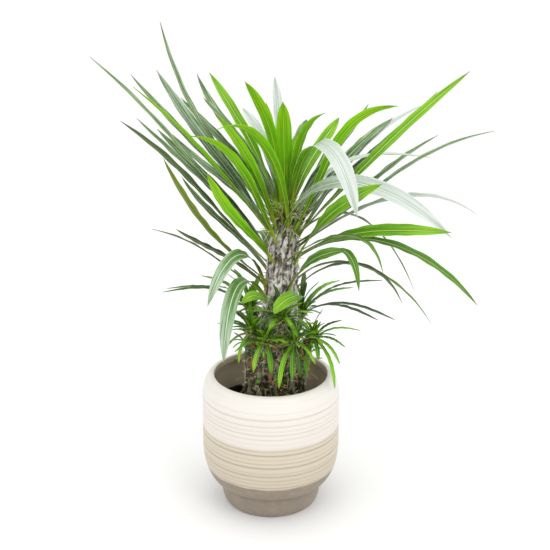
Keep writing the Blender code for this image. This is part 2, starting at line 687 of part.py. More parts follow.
def crosses(obj, others):
    """Whether a small piece cuts or nearly touches any of the others."""
    mine = tree_of(obj)
    for other in others:
        if mine.overlap(other):
            return True
    corners = [vertex.co for vertex in obj.data.vertices]
    return any(other.find_nearest(corner, CLEARANCE)[0] is not None for other in others for corner in corners)


def stem_spines(centre_of, radius_of, spots, lengths, others, material, seed):
    """A pair of spines at each spot of a stem, where nothing else is in the way."""
    draw = random.Random(seed)
    found = []
    for turn, height in spots:
        for lean in (-38, 38):
            side = turn + math.radians(lean + draw.uniform(-10, 10))
            aim = heading(side, math.radians(draw.uniform(-15, 20)))
            length = draw.uniform(*lengths)
            root = centre_of(height) + heading(turn, 0) * radius_of(turn, height)
            thorn = spine(root, aim, length, material)
            if crosses(thorn, others):
                bpy.data.objects.remove(thorn)
            else:
                found.append(thorn)
    return found


def dress_offset(offset, stem, others, material, seed):
    """Joins an offset's leaves and spines to its stem. A leaf that would cut another piece is left out."""
    joined = []
    for turn, rise, length, width in offset.leaves:
        leaf = small_leaf(offset, turn, rise, length, width, material)
        if crosses(leaf, others):
            bpy.data.objects.remove(leaf)
        else:
            joined.append(leaf)
    head = offset.head[2] * MM
    first = BARE_TOP + 8 * MM
    step = (head - 4 * MM - first) / OFFSET_SPINES
    spots = [(index * GOLDEN_ANGLE, first + index * step) for index in range(OFFSET_SPINES)]
    joined += stem_spines(
        lambda height: offset_centre(offset, height),
        lambda turn, height: offset_radius(offset, height),
        spots, OFFSET_SPINE_LENGTHS, others, material, seed,
    )
    boolean(stem, "UNION", joined)


def add_trunk_spines(trunk, others):
    """Spines on every third cushion of the trunk."""
    spots = cushions()[::3]
    thorns = stem_spines(
        trunk_centre,
        lambda turn, height: (trunk_surface(turn, height) - trunk_centre(height)).length,
        spots, SPINE_LENGTHS, others, trunk.data.materials[0], 11,
    )
    boolean(trunk, "UNION", thorns)


def main():
    clear_scene()
    pot = make_pot()
    nursery = make_nursery_pot()
    trunk = make_bare_trunk()
    tip = make_tip()
    leaves = make_trunk_leaves(trunk, tip)
    stems = [(TRUNK_FOOT, TRUNK_RADII[1][1] * MM, TRUNK_SIDES)]
    for offset in OFFSETS:
        foot = Vector((offset.foot[0], offset.foot[1], OFFSET_BOTTOM / MM)) * MM
        stems.append((foot, offset.radii[0] * MM, OFFSET_SIDES))
    soil = make_soil(stems)
    placed = [tree_of(obj) for obj in (pot, nursery, soil, tip, *leaves)]
    bare = tree_of(trunk)
    offset_green = finish("offset", (0.20, 0.33, 0.10), 0.6)
    young = [make_offset_stem(offset, offset_green) for offset in OFFSETS]
    for seed, offset in enumerate(OFFSETS):
        others = [tree_of(stem) for stem in young if stem is not young[seed]]
        dress_offset(offset, young[seed], [bare, *placed, *others], offset_green, seed)
    add_trunk_spines(trunk, [*placed, *(tree_of(stem) for stem in young)])


main()
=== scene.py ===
"""The look of a potted Madagascar palm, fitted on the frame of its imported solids.

Metres, +Z up, the same frame as the solids: the viewer stands at -Y. Each solid that shows is replaced
by a finer piece of the same form, grown from the same named sizes, and the nursery pot keeps its solid.
"""
import itertools
import math
import random
from collections import namedtuple

import bpy
import numpy as np
from mathutils import Matrix, Vector, noise
from mathutils.bvhtree import BVHTree
from mathutils.kdtree import KDTree


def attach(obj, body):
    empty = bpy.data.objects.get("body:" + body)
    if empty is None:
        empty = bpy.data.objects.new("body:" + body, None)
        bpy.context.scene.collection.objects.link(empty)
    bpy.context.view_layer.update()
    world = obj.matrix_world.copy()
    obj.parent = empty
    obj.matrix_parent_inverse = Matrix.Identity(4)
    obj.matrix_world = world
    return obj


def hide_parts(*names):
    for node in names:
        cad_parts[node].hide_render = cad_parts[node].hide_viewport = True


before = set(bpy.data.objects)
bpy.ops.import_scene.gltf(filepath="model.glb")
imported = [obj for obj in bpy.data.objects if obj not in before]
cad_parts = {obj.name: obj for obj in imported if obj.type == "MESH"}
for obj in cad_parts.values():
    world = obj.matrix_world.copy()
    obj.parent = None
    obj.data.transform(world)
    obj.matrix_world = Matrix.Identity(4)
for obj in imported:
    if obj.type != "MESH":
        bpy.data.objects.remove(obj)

MM = 0.001
GAP = 0.35 * MM
TURN = 2 * math.pi
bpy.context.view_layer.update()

# Camera and studio
CAMERA_SPOT = (0.0052, -1.2, 0.711)
CAMERA_PITCH = 19.0
LENS = 69.4
WORLD_LIGHT = 1.09
FLOOR_HALF = 30
# Lamps: name, place, size, power and the point that each is aimed at
LAMPS = (
    ("overhead", (0.1, -0.35, 2.1), 1.3, 7, (0, 0, 0.3)),
    ("front_left", (-1.3, -1.5, 1.5), 1.2, 1.5, (0, 0, 0.3)),
    ("front_right", (0.8, -1.2, 1.5), 0.6, 4, (-0.03, 0.03, 0.15)),
)

# Ceramic pot
POT_SIDES = 192
POT_STEP = 0.7 * MM
POT_FINE_STEP = 0.3 * MM
FOOT_STEPS = 16
SHOULDER_STEPS = 12
LIP_STEPS = 8
LIP = 1.3 * MM
POT_HEIGHT = 171.3 * MM
BODY_RADIUS = 85.3 * MM
OPENING_RADIUS = 69.8 * MM
RIM_CREST_RADIUS = 72.0 * MM
SHOULDER_START = 142.0 * MM
BELLY_START = 80.0 * MM
FOOT_HEIGHT = 28.0 * MM
FOOT_TOP_RADIUS = 62.0 * MM
FOOT_NECK_RADIUS = 60.5 * MM
FOOT_FLAT_RADIUS = 54.5 * MM
FOOT_ROUNDING = 18.0 * MM
POT_FLOOR = 10.0 * MM
POT_WALL = 6.5 * MM
THROAT_RADIUS = 70.5 * MM
THROAT_HEIGHT = 163.3 * MM
# Radius and height, in millimetres, of the step over the foot and of the wall down to the inner floor
FOOT_EDGE = ((62.3, 22), (62.2, 25.5), (61.1, 27.2), (60.5, 28))
INNER_FLOOR = ((77.5, 62), (74, 55), (64, 41), (55.5, 34), (53, 12), (51, 10), (0, 10))
# The throwing rings: height, depth and half height of each groove, in millimetres
RINGS = (
    (165.5, 0.15, 1.6), (153.6, 0.30, 1.6), (145.8, 0.95, 1.8), (137.6, 0.75, 1.6), (131.7, 0.55, 1.3),
    (126.6, 0.75, 1.4), (120.6, 0.60, 1.3), (114.2, 0.35, 1.3), (105.6, 0.60, 1.3), (99.8, 0.95, 1.6),
    (94.0, 0.45, 1.3), (88.6, 0.60, 1.3), (83.0, 0.95, 1.6), (75.6, 0.45, 1.3), (71.6, 0.85, 1.5),
    (65.6, 0.60, 1.3), (60.6, 0.45, 1.2), (55.0, 0.75, 1.4), (49.6, 0.55, 1.1), (45.0, 0.50, 1.0),
    (40.6, 0.45, 1.0),
)
CREAM_ENDS = 107.5 * MM
BEIGE_ENDS = 52.5 * MM

# Nursery pot and soil
NURSERY_CENTRE = Vector((-9 * MM, 2 * MM, 0))
NURSERY_BASE = POT_FLOOR + GAP
NURSERY_RIM = 130.0 * MM
NURSERY_BASE_RADIUS = 40.5 * MM
NURSERY_TOP_RADIUS = 58.0 * MM
NURSERY_WALL = 1.4 * MM
SOIL_TOP = 112.0 * MM
SOIL_RELIEF = 1.6 * MM
SOIL_SIDES = 96
SOIL_ROWS = 34
BARK_BITS = 520
BARK_BIT_SIZES = (2.2, 3, 3.5, 4.5, 6, 8)
ROOT_BITS = 46
THREAD_SIDES = 5
HANGING_ROOTS = 150
DRY_SCRAPS = 18
FALLEN_LEAF = ((-57, 16, 115.5), (-26, 47, 118))  # its two ends, in millimetres

# Trunk
COARSE_SIDES = 18
COARSE_ROW = 6.0 * MM
TRUNK_SIDES = 168
TRUNK_STEP = 0.95 * MM
TRUNK_FOOT = Vector((2, 4, 72)) * MM
TRUNK_TOP = Vector((18, 2, 368)) * MM
TRUNK_RADII = (
    (72, 19.0), (118, 19.5), (200, 20.0), (240, 20.5), (270, 19.0), (305, 17.3), (340, 15.8), (368, 13.5),
)
BARE_TOP = 117.0 * MM
CUSHION_RISE = 2.3 * MM
CUSHION_REACH = 7.6 * MM
CUSHION_STRETCH = 1.35
CUSHION_STEP = 1.2 * MM
OUTSIDE = 60 * MM
GOLDEN_ANGLE = math.radians(137.508)
CROWN_FROM = 354 * MM  # above this the spines crowd together
SPINE_STEPS = 6
SPINE_ROOT = 1.6 * MM
# The spines of one cushion, in degrees and millimetres: their angles, the ranges of their slope, length
# and radius, and how far they curl
Spines = namedtuple("Spines", "angles slope length radius curl")
CROWN_SPINES = Spines((-58, -44, -30, -15, 0, 15, 30, 44, 58), (-40, 55), (8, 14), (0.5, 0.75), 0.75)
STEM_SPINES = Spines((-40, -14, 14, 40), (-25, 25), (4.5, 8.5), (0.42, 0.62), 0.3)
OFFSET_SPINES = Spines((-56, -28, 0, 28, 56), (-25, 40), (4, 8), (0.28, 0.44), 0.25)
SPREAD = 12  # each spine's own turn off its angle, in degrees
# Relief of a stem's skin: how often it changes round the stem and up it
DRIFT = (3.2, 110)
RIDGE = (5.6, 64)
FINE = (15, 230)
GRAIN = (34, 420)
CRACK = (4.2, 44)
TIP_SPINES = 230
TIP_BUDS = 26
TIP_BLUNTNESS = 4.2
CROWN_STALKS = 26

# Growing tip
TIP_FOOT = TRUNK_TOP + Vector((0, 0, GAP))
TIP_CORE = ((0, 13.2), (7, 11.5), (14, 8.0), (18, 3.0))

# Leaves
PETIOLE_WIDTH = 3.2 * MM
PETIOLE_THICKNESS = 2.2 * MM
BLADE_THICKNESS = 0.7 * MM
MIDRIB_THICKNESS = 1.2 * MM
TIP_WIDTH = 0.9 * MM
WIDEST_AT = 0.6
CHANNEL = 0.14
LEAF_SHIFTS = (0, 5, -5, 10, -10, 15, -15, 20, -20)
LEAF_LIFTS = (0, 4, -4, 8, -8, 12, -12)
CUSHION_CHOICES = 5
RING_AT = 0.42  # the part of a leaf's length where its solid is recognised
# Rows of points along each kind of leaf
LEAF_ROWS = 60
SMALL_LEAF_ROWS = 26
MIDDLE_ROWS = 16
YOUNG_ROWS = 14
STALK_ROWS = 12
HAIR_FROM = 0.965
MARGIN = 0.24 * MM
FINE_BLADE = 0.42 * MM
FINE_RIB = 0.95 * MM
RIB_SPREAD = 1.05 * MM
CREASE_DEPTH = 0.22 * MM
CREASE_SPREAD = 0.6 * MM
STALK_IN_CUSHION = 2.6 * MM
ACROSS = (-1, -0.82, -0.58, -0.34, -0.17, -0.08, -0.035, 0, 0.035, 0.08, 0.17, 0.34, 0.58, 0.82, 1)

# Each leaf as on the solids, in millimetres and degrees: the height of its foot, its tip, the rise at its
# foot, the slope at its tip, its width, the tones of its upper face and underside, then its roll, the swing
# at its foot and how far its guides reach
Leaf = namedtuple("Leaf", "height tip rise fall width upper under roll swing reach", defaults=(0, 0, 0.4))
TRUNK_LEAVES = [Leaf(*row) for row in (
    # Upper left
    (366, (-126, 40, 590), 46, 78, 13, "grey", "olive", -5),
    (328, (-202, 0, 556), 45, 42, 12, "grey", "bright", -10),
    (358, (-169, 90, 523), 48, 45, 14, "grey", "mid"),
    (344, (-147, -60, 532), 52, 42, 12, "fresh", "bright", 15),
    (338, (-135, 60, 532), 56, 58, 16, "sage", "mid", -25),
    (352, (-112, 120, 490), 58, 36, 15, "grey", "mid"),
    (360, (-89, 90, 524), 62, 66, 16, "grey", "dark"),
    (364, (-55, -115, 512), 65, 40, 13, "fresh", "bright", 10),
    (362, (-56, -135, 499), 74, -8, 13, "fresh", "bright", 15),
    (318, (-165, -40, 491), 45, 38, 13, "dark", "olive", -25),
    (326, (-163, 80, 472), 45, 40, 12, "grey", "olive"),
    (318, (-142, 110, 453), 45, 38, 13, "grey", "olive", -15),
    (334, (-126, 140, 440), 48, 35, 13, "grey", "olive"),
    (350, (-86, -100, 487), 56, 12, 14, "fresh", "bright", 20),
    # Lower left
    (294, (-116, -70, 456), 38, 66, 13, "dark", "olive", 20),
    (288, (-112, 100, 394), 42, 50, 12, "grey", "olive"),
    (324, (-67, -100, 447), 50, 62, 15, "fresh", "bright", 20),
    (276, (-133, -60, 373), 38, 20, 11, "dark", "dark"),
    (284, (-120, 85, 330), 34, 22, 11, "dark", "olive"),
    (286, (-70, -90, 293), 74, -62, 15, "droop", "olive", -40, 0, 0.65),
    (268, (-53, -100, 227), 60, -84, 18, "droop", "mid", -15, 0, 0.75),
    (262, (-33, -72, 288), 40, -25, 12, "fresh", "bright", -50),
    # Upper right
    (352, (222, -10, 541), 48, 40, 12, "fresh", "bright", 50),
    (352, (202, 90, 502), 43, 43, 13, "grey", "olive"),
    (346, (187, 110, 484), 50, 15, 14, "pale", "mid"),
    (352, (138, -60, 511), 56, 5, 12, "fresh", "bright", -55),
    (364, (148, 100, 472), 55, 25, 13, "grey", "olive", 15),
    (368, (119, 90, 487), 62, 50, 14, "grey", "mid"),
    (340, (201, 60, 455), 38, 25, 12, "grey", "olive"),
    (360, (260, 20, 468), 33, 10, 12, "grey", "olive"),
    (366, (190, 40, 432), 64, -12, 14, "pale", "mid", 0, 0, 0.5),
    (364, (201, -75, 367), 74, -42, 20, "pale", "mid", 45, 0, 0.55),
    (336, (245, 15, 369), 34, -35, 11, "pale", "olive", 10),
    (312, (118, -110, 437), 60, 28, 18, "fresh", "bright", 68),
    (326, (198, -90, 378), 34, 5, 16, "fresh", "bright", 45),
    (318, (244, -30, 270), 36, -50, 12, "mid", "olive", 25),
    # Lower right
    (330, (128, -60, 321), 38, -75, 11, "mid", "olive", 0, 0, 0.6),
    (334, (177, 30, 267), 42, -68, 11, "grey", "olive", 0, 0, 0.55),
    (282, (80, -130, 370), 52, 18, 14, "mid", "olive", 62),
    (300, (98, -100, 313), 42, -80, 12, "mid", "olive", 0, 0, 0.6),
    (278, (155, -30, 273), 50, -65, 12, "dark", "olive", 0, 0, 0.5),
    (296, (195, 0, 235), 45, -60, 11, "mid", "olive"),
    (276, (4, -82, 279), 20, -32, 16, "fresh", "bright", -35, 48),
    # Rear
    (340, (40, 190, 440), 50, 15, 14, "dark", "mid"),
    (322, (95, 175, 440), 45, 20, 14, "grey", "mid"),
    (312, (-40, 195, 425), 45, 20, 14, "dark", "olive"),
    (296, (60, 180, 345), 40, -25, 13, "dark", "olive"),
    (282, (-20, 160, 300), 40, -35, 12, "mid", "olive"),
)]
TIP_LEAVES = [Leaf(*row) for row in (
    (374, (-66, -40, 544), 74, 58, 14, "fresh", "bright", -65),
    (378, (-28, -30, 533), 86, 50, 13, "fresh", "bright", 45),
    (376, (-35, 110, 479), 66, 20, 15, "pale", "bright"),
    (378, (5, 70, 523), 80, 62, 16, "pale", "bright", 30),
    (380, (14, -20, 509), 86, 78, 18, "fresh", "bright"),
    (378, (60, -50, 502), 80, 22, 14, "fresh", "bright"),
    (374, (84, 90, 471), 66, 35, 14, "fresh", "bright", 35),
    (376, (93, -110, 401), 80, -68, 22, "pale", "bright", 15, 0, 0.85),
    (376, (45, 125, 462), 66, 15, 14, "grey", "mid"),
    (374, (-80, 60, 500), 66, 40, 14, "grey", "mid"),
    (380, (30, 30, 462), 84, 60, 11, "fresh", "bright"),
    (380, (-5, 25, 500), 84, 75, 12, "fresh", "bright"),
)]

# Offsets: foot, head, radii and leaves, each by compass direction, rise, length and width
Offset = namedtuple("Offset", "name foot head radii leaves")
OFFSETS = (
    Offset("offset_left", (-25.2, -16.5), (-22, -26, 235), (7.0, 6.0), (
        (-140, -62, 44, 7), (-60, -60, 38, 6), (-165, -35, 46, 7), (172, 12, 45, 7),
        (150, 38, 42, 6), (-100, 30, 40, 7), (100, 55, 38, 6),
    )),
    Offset("offset_front_left", (-11.8, -27.1), (-7, -39, 228), (7.0, 6.0), (
        (-68, -62, 42, 8), (-162, -14, 40, 7), (-120, -50, 42, 7), (-40, 12, 38, 7),
        (-105, 42, 44, 8), (160, 40, 36, 6),
    )),
    Offset("offset_front", (5, -29.9), (14, -31, 254), (7.0, 6.0), (
        (-140, -42, 36, 8), (-160, 22, 44, 7), (-25, 20, 44, 7), (-90, 35, 40, 7),
        (-60, -20, 38, 7), (175, 55, 40, 6), (5, 58, 40, 6), (-115, 0, 40, 7),
    )),
    Offset("offset_front_right", (21, -24.2), (28, -40, 227), (7.0, 6.0), (
        (-125, -58, 62, 8), (-98, -68, 48, 7), (-72, -62, 44, 7), (-30, -40, 38, 7),
        (-90, 45, 40, 6), (-15, 30, 38, 6), (-150, 25, 36, 6),
    )),
    Offset("offset_right", (32.3, -11.4), (51, -22, 226), (7.0, 6.0), (
        (-42, -60, 72, 8), (-30, -38, 48, 8), (-12, -14, 42, 8), (8, 6, 62, 7),
        (-112, -62, 50, 7), (-72, -52, 30, 7), (25, 24, 44, 6), (-60, 50, 40, 6),
    )),
    Offset("offset_back_right", (20, 30), (38, 36, 236), (8.0, 6.5), (
        (-8, 26, 120, 9), (-15, 1, 128, 10), (-28, 5, 112, 9), (-1, -3, 118, 9),
        (20, 20, 80, 9), (50, 15, 90, 9), (85, 25, 80, 8), (120, 40, 60, 8), (0, 65, 50, 6),
    )),
    Offset("offset_back_left", (-20, 31), (-25, 40, 240), (8.0, 6.5), (
        (-166, 16, 125, 9), (176, 13, 117, 9), (-150, 35, 80, 8), (145, 20, 90, 9),
        (110, 25, 80, 8), (75, 35, 60, 8), (-178, 60, 60, 6),
    )),
)
OFFSET_SIDES = 40
OFFSET_STEP = 1.6 * MM
OFFSET_BOTTOM = 92.0 * MM
OFFSET_DOME = 4.0 * MM
OFFSET_CUSHION_RISE = 1.3 * MM
OFFSET_CUSHION_STEP = 3.4 * MM
THORN_STEP = 1.7 * MM
YOUNG_LEAVES = 20
MIDDLE_LEAVES = 9
SIDE_LEAVES = 16
SLIM = 0.82  # the small leaves are this much slimmer than their plain solids

# Leaf tones from the photograph, 0 to 255: near the stalk, the blade, its far end, the midrib,
# the stalk, the dry tip and the paler patches, then the roughness and how strong the long bands are
Tone = namedtuple("Tone", "base blade far rib stalk tip patch roughness bands", defaults=(0.7,))
# The pale, grey, sage and droop upper faces carry painted sheen: their pale blades, far ends and patches
# stand for the overhead light's reflection off the glossy upper face
UPPER_TONES = {
    "fresh": Tone(
        (62, 108, 8), (90, 156, 10), (126, 184, 30), (206, 222, 122), (150, 168, 46), (150, 128, 70),
        (130, 186, 44), 0.42, 0.5),
    "mid": Tone(
        (38, 76, 8), (56, 112, 12), (86, 138, 34), (182, 204, 116), (140, 156, 46), (140, 130, 70),
        (96, 146, 50), 0.42),
    "dark": Tone(
        (24, 46, 10), (36, 64, 18), (58, 82, 36), (156, 172, 110), (124, 136, 46), (120, 110, 60),
        (88, 114, 66), 0.42),
    "grey": Tone(
        (26, 56, 10), (56, 98, 28), (102, 138, 80), (196, 210, 170), (132, 146, 44), (128, 122, 90),
        (162, 186, 150), 0.5, 0.9),
    "sage": Tone(
        (44, 84, 18), (92, 132, 76), (146, 172, 138), (218, 228, 204), (112, 142, 34), (150, 166, 90),
        (186, 204, 184), 0.5, 0.9),
    "droop": Tone(
        (48, 102, 8), (82, 136, 36), (170, 190, 164), (226, 234, 212), (108, 144, 30), (150, 170, 80),
        (166, 188, 154), 0.5),
    "pale": Tone(
        (96, 128, 66), (180, 192, 178), (202, 210, 204), (236, 240, 236), (118, 148, 52), (180, 186, 164),
        (220, 226, 222), 0.55, 0.2),
    "tuft": Tone(
        (40, 82, 6), (66, 128, 10), (96, 156, 26), (124, 176, 60), (120, 140, 40), (150, 140, 60),
        (110, 168, 40), 0.42, 0.5),
    "tuft_bright": Tone(
        (62, 112, 4), (104, 176, 8), (136, 198, 26), (168, 210, 84), (140, 158, 40), (170, 160, 70),
        (146, 204, 44), 0.42, 0.5),
    "tuft_dark": Tone(
        (22, 46, 6), (34, 70, 12), (56, 96, 26), (92, 128, 56), (96, 112, 36), (120, 110, 50),
        (80, 118, 44), 0.42, 0.5),
}
# The undersides are partly their own paler green, painted brighter as painted light that stands for the light
# shining through the thin leaf
UNDER_TONES = {
    "bright": Tone(
        (60, 104, 2), (104, 178, 4), (132, 192, 14), (182, 212, 66), (160, 174, 46), (150, 140, 50),
        (128, 192, 16), 0.6, 0.4),
    "mid": Tone(
        (46, 82, 4), (74, 132, 6), (104, 154, 18), (162, 190, 66), (150, 164, 46), (140, 130, 60),
        (102, 156, 22), 0.6, 0.5),
    "olive": Tone(
        (58, 76, 12), (86, 110, 20), (108, 126, 44), (162, 174, 84), (144, 150, 52), (130, 116, 76),
        (122, 142, 54), 0.6, 0.5),
    "dark": Tone(
        (30, 50, 8), (44, 72, 14), (62, 84, 32), (140, 156, 80), (124, 134, 46), (116, 104, 56),
        (76, 104, 36), 0.6),
}


def linear(colour):
    """A colour of three parts from 0 to 255 as the shader takes it."""
    parts = [part / 255 for part in colour]
    return tuple(p / 12.92 if p <= 0.04045 else ((p + 0.055) / 1.055) ** 2.4 for p in parts)


class Look:
    """A material in the making: its nodes, and its colour and normal so far."""

    def __init__(self, name):
        self.material = bpy.data.materials.new(name)
        self.material.use_nodes = True
        self.tree = self.material.node_tree
        self.shader = self.tree.nodes["Principled BSDF"]
        self.place = self.add("ShaderNodeTexCoord").outputs["Object"]
        self.colour = None
        self.normal = None

    def feed(self, value, socket):
        """Links a socket, or sets a plain value on it."""
        if isinstance(value, bpy.types.NodeSocket):
            self.tree.links.new(value, socket)
        else:
            socket.default_value = value

    def add(self, kind, sockets=None, **settings):
        """Makes a node, with its settings and what feeds its sockets."""
        made = self.tree.nodes.new(kind)
        for key, value in settings.items():
            setattr(made, key, value)
        for key, value in (sockets or {}).items():
            self.feed(value, made.inputs[key])
        return made

    def calc(self, operation, *values):
        """Arithmetic on sockets and numbers."""
        return self.add("ShaderNodeMath", dict(enumerate(values)), operation=operation).outputs[0]

    def scaled(self, value, by, plus=0.0):
        """A value times a number, plus another."""
        return self.calc("MULTIPLY_ADD", value, by, plus)

    def around(self, value, amount):
        """A noise value moved to swing about 0, over an amount from end to end."""
        return self.scaled(value, amount, -0.5 * amount)

    def step(self, value, low, high, strength=1.0):
        """0 below low, the strength above high, smooth between. With high under low it falls."""
        sockets = {"Value": value, "From Min": low, "From Max": high, "To Max": strength}
        return self.add("ShaderNodeMapRange", sockets, interpolation_type="SMOOTHSTEP").outputs["Result"]

    def blend(self, factor, a, b):
        """Mixes two colours. Each is a socket or three parts from 0 to 255."""
        made = self.add("ShaderNodeMix", {0: factor}, data_type="RGBA")
        for index, value in ((6, a), (7, b)):
            self.feed((*linear(value), 1) if isinstance(value, tuple) else value, made.inputs[index])
        return made.outputs[2]

    def paint(self, factor, colour):
        """Lays a colour over the colour so far."""
        self.colour = self.blend(factor, self.colour, colour)

    def stretched(self, scale, vector=None):
        """Coordinates drawn out by a scale for each axis."""
        vector = self.place if vector is None else vector
        return self.add("ShaderNodeMapping", {"Vector": vector, "Scale": scale}).outputs[0]

    def noise(self, scale, detail=2.0, roughness=0.5, vector=None):
        vector = self.place if vector is None else vector
        sockets = {"Vector": vector, "Scale": scale, "Detail": detail, "Roughness": roughness}
        return self.add("ShaderNodeTexNoise", sockets).outputs["Fac"]

    def mark(self, name):
        """A value that the mesh carries at its points."""
        return self.add("ShaderNodeAttribute", attribute_name=name).outputs["Fac"]

    def uv(self, name):
        return self.add("ShaderNodeUVMap", uv_map=name).outputs[0]

    def axes(self, vector):
        """The parts of a vector, by X, Y and Z."""
        return self.add("ShaderNodeSeparateXYZ", {0: vector}).outputs

    def bump(self, height, strength, distance):
        """Roughens the normal so far."""
        sockets = {"Height": height, "Strength": strength, "Distance": distance}
        if self.normal is not None:
            sockets["Normal"] = self.normal
        self.normal = self.add("ShaderNodeBump", sockets).outputs["Normal"]

    def finish(self, roughness, specular=None):
        """Feeds the shader and returns the material."""
        inputs = self.shader.inputs
        self.feed(self.colour, inputs["Base Color"])
        self.feed(roughness, inputs["Roughness"])
        if specular is not None:
            inputs["Specular IOR Level"].default_value = specular
        if self.normal is not None:
            self.feed(self.normal, inputs["Normal"])
        return self.material


def glaze_material():
    """Satin stoneware glaze in three bands, darker in the throwing rings with pooled glaze and painted shade,
    a paler inside wall of painted light, and a fine speckle.
    """
    look = Look("glaze_fine")
    height = look.calc("ADD", look.axes(look.place)["Z"], look.around(look.noise(38, 3), 3.5 * MM))
    cream = look.step(height, CREAM_ENDS - 3.5 * MM, CREAM_ENDS + 4.5 * MM)
    beige = look.step(height, BEIGE_ENDS - 1.6 * MM, BEIGE_ENDS + 1.6 * MM)
    look.colour = look.blend(look.step(height, 0.0, 40 * MM), (138, 127, 114), (133, 121, 106))
    look.paint(look.step(look.noise(75, 5, 0.65), 0.44, 0.66, 0.35), (160, 148, 128))
    look.paint(look.step(look.noise(240, 4, 0.6), 0.52, 0.7, 0.3), (98, 88, 76))
    look.paint(beige, look.blend(look.step(height, 56 * MM, 100 * MM), (201, 190, 170), (208, 198, 178)))
    look.paint(cream, look.blend(look.step(height, 112 * MM, 158 * MM), (228, 221, 213), (231, 227, 220)))
    # Darker in the grooves: glaze that pools there, and painted shade in the recess
    look.paint(look.scaled(look.mark("groove"), 0.62), look.blend(cream, (158, 142, 118), (206, 192, 176)))
    # Painted light: the inside wall is painted far paler than its taupe glaze, for the light that falls into
    # the pot
    look.paint(look.mark("inside"), look.blend(look.noise(60, 4), (250, 238, 216), (234, 216, 190)))
    look.paint(look.step(look.noise(900, 2), 0.66, 0.74, 0.22), (168, 150, 128))
    look.paint(look.scaled(look.noise(24, 4), 0.10), (190, 174, 152))
    look.shader.inputs["Coat Weight"].default_value = 0.12
    look.shader.inputs["Coat Roughness"].default_value = 0.35
    look.bump(look.noise(520, 3, 0.6), 0.12, 0.3 * MM)
    look.bump(look.noise(1.0, 2, vector=look.stretched((40, 40, 900))), 0.16, 0.35 * MM)
    return look.finish(look.scaled(look.noise(130, 3), 0.22, 0.34))


def plastic_material():
    """Thin black moulded plastic, slightly dusty and scuffed."""
    look = Look("black_plastic_fine")
    dust = look.step(look.noise(70, 5), 0.5, 0.78)
    look.colour = look.blend(look.scaled(dust, 0.6), (22, 21, 20), (84, 74, 62))
    look.bump(look.noise(700, 2), 0.15, 0.2 * MM)
    return look.finish(look.scaled(dust, 0.35, 0.36))


def soil_material():
    """Dark peat: fine crumbs in larger clods."""
    look = Look("soil_fine")
    crumbs = look.noise(260, 6, 0.65)
    shade = look.calc("MULTIPLY", look.step(crumbs, 0.4, 0.72), look.step(look.noise(60, 4), 0.3, 0.7))
    look.colour = look.blend(shade, (38, 27, 19), (96, 70, 48))
    look.bump(crumbs, 0.9, 1.6 * MM)
    return look.finish(0.95, 0.25)


def bit_material(name, first, second, scale=120):
    """Bark bits, roots and dry scraps: a brown that changes from bit to bit."""
    look = Look(name)
    look.colour = look.blend(look.step(look.noise(scale, 3), 0.35, 0.65), first, second)
    look.bump(look.noise(900, 3), 0.5, 0.5 * MM)
    return look.finish(0.85)


def core_material():
    """The living skin of the growing tip."""
    look = Look("tip_skin")
    look.colour = look.blend(look.step(look.noise(160, 4), 0.4, 0.65), (62, 68, 20), (34, 26, 16))
    look.bump(look.noise(380, 3), 0.6, 0.8 * MM)
    return look.finish(0.6)


def bark_material(name, crest, side, crack, moss, moss_amount):
    """Skin of a stem: pale silver crests brightened with painted highlights, dark cracks deepened with
    painted shade, and long upright streaks.
    """
    look = Look(name)
    streak = look.noise(1.0, 4, 0.6, look.stretched((300, 300, 110)))
    fine = look.noise(1.0, 3, 0.6, look.stretched((1300, 1300, 420)))
    # Raised skin is painted pale with painted highlights and the gaps dark with painted shade, over the
    # bark's own silver and brown
    relief_highlight_and_shade = look.calc("ADD", look.mark("swell"), look.around(look.noise(130, 4, 0.6), 1.1))
    look.colour = look.blend(look.step(relief_highlight_and_shade, 0.16, 0.52), crack, side)
    look.paint(look.step(look.calc("ADD", relief_highlight_and_shade, look.around(streak, 1.2)), 0.42, 0.80), crest)
    # Dark lines of painted shade in the troughs of the streak relief
    look.paint(look.step(streak, 0.48, 0.36, 0.55), crack)
    look.paint(look.step(fine, 0.5, 0.72, 0.45), side)
    look.paint(look.step(look.noise(240, 4), 0.54, 0.66, 0.6), (132, 104, 74))
    look.paint(look.scaled(look.mark("scar"), 0.75), (58, 42, 30))
    # Painted shade where the spines crowd together under the crown
    shaded = look.step(look.axes(look.place)["Z"], CROWN_FROM - 8 * MM, CROWN_FROM + 14 * MM, 0.55)
    look.paint(shaded, (60, 48, 28))
    look.paint(look.step(look.noise(45, 3), 0.42, 0.66, moss_amount), moss)
    look.bump(streak, 0.8, 1.4 * MM)
    look.bump(fine, 0.6, 0.6 * MM)
    return look.finish(look.scaled(streak, 0.4, 0.35), 0.45)


def spine_material(name, base, tip, spot, full_at=0.95):
    """A spine changes from one colour at its foot to another, reached at a part of its length."""
    look = Look(name)
    look.colour = look.blend(look.step(look.axes(look.uv("blade"))["Y"], 0.15, full_at), base, tip)
    look.paint(look.step(look.noise(300, 2), 0.5, 0.65, 0.4), spot)
    return look.finish(0.5)


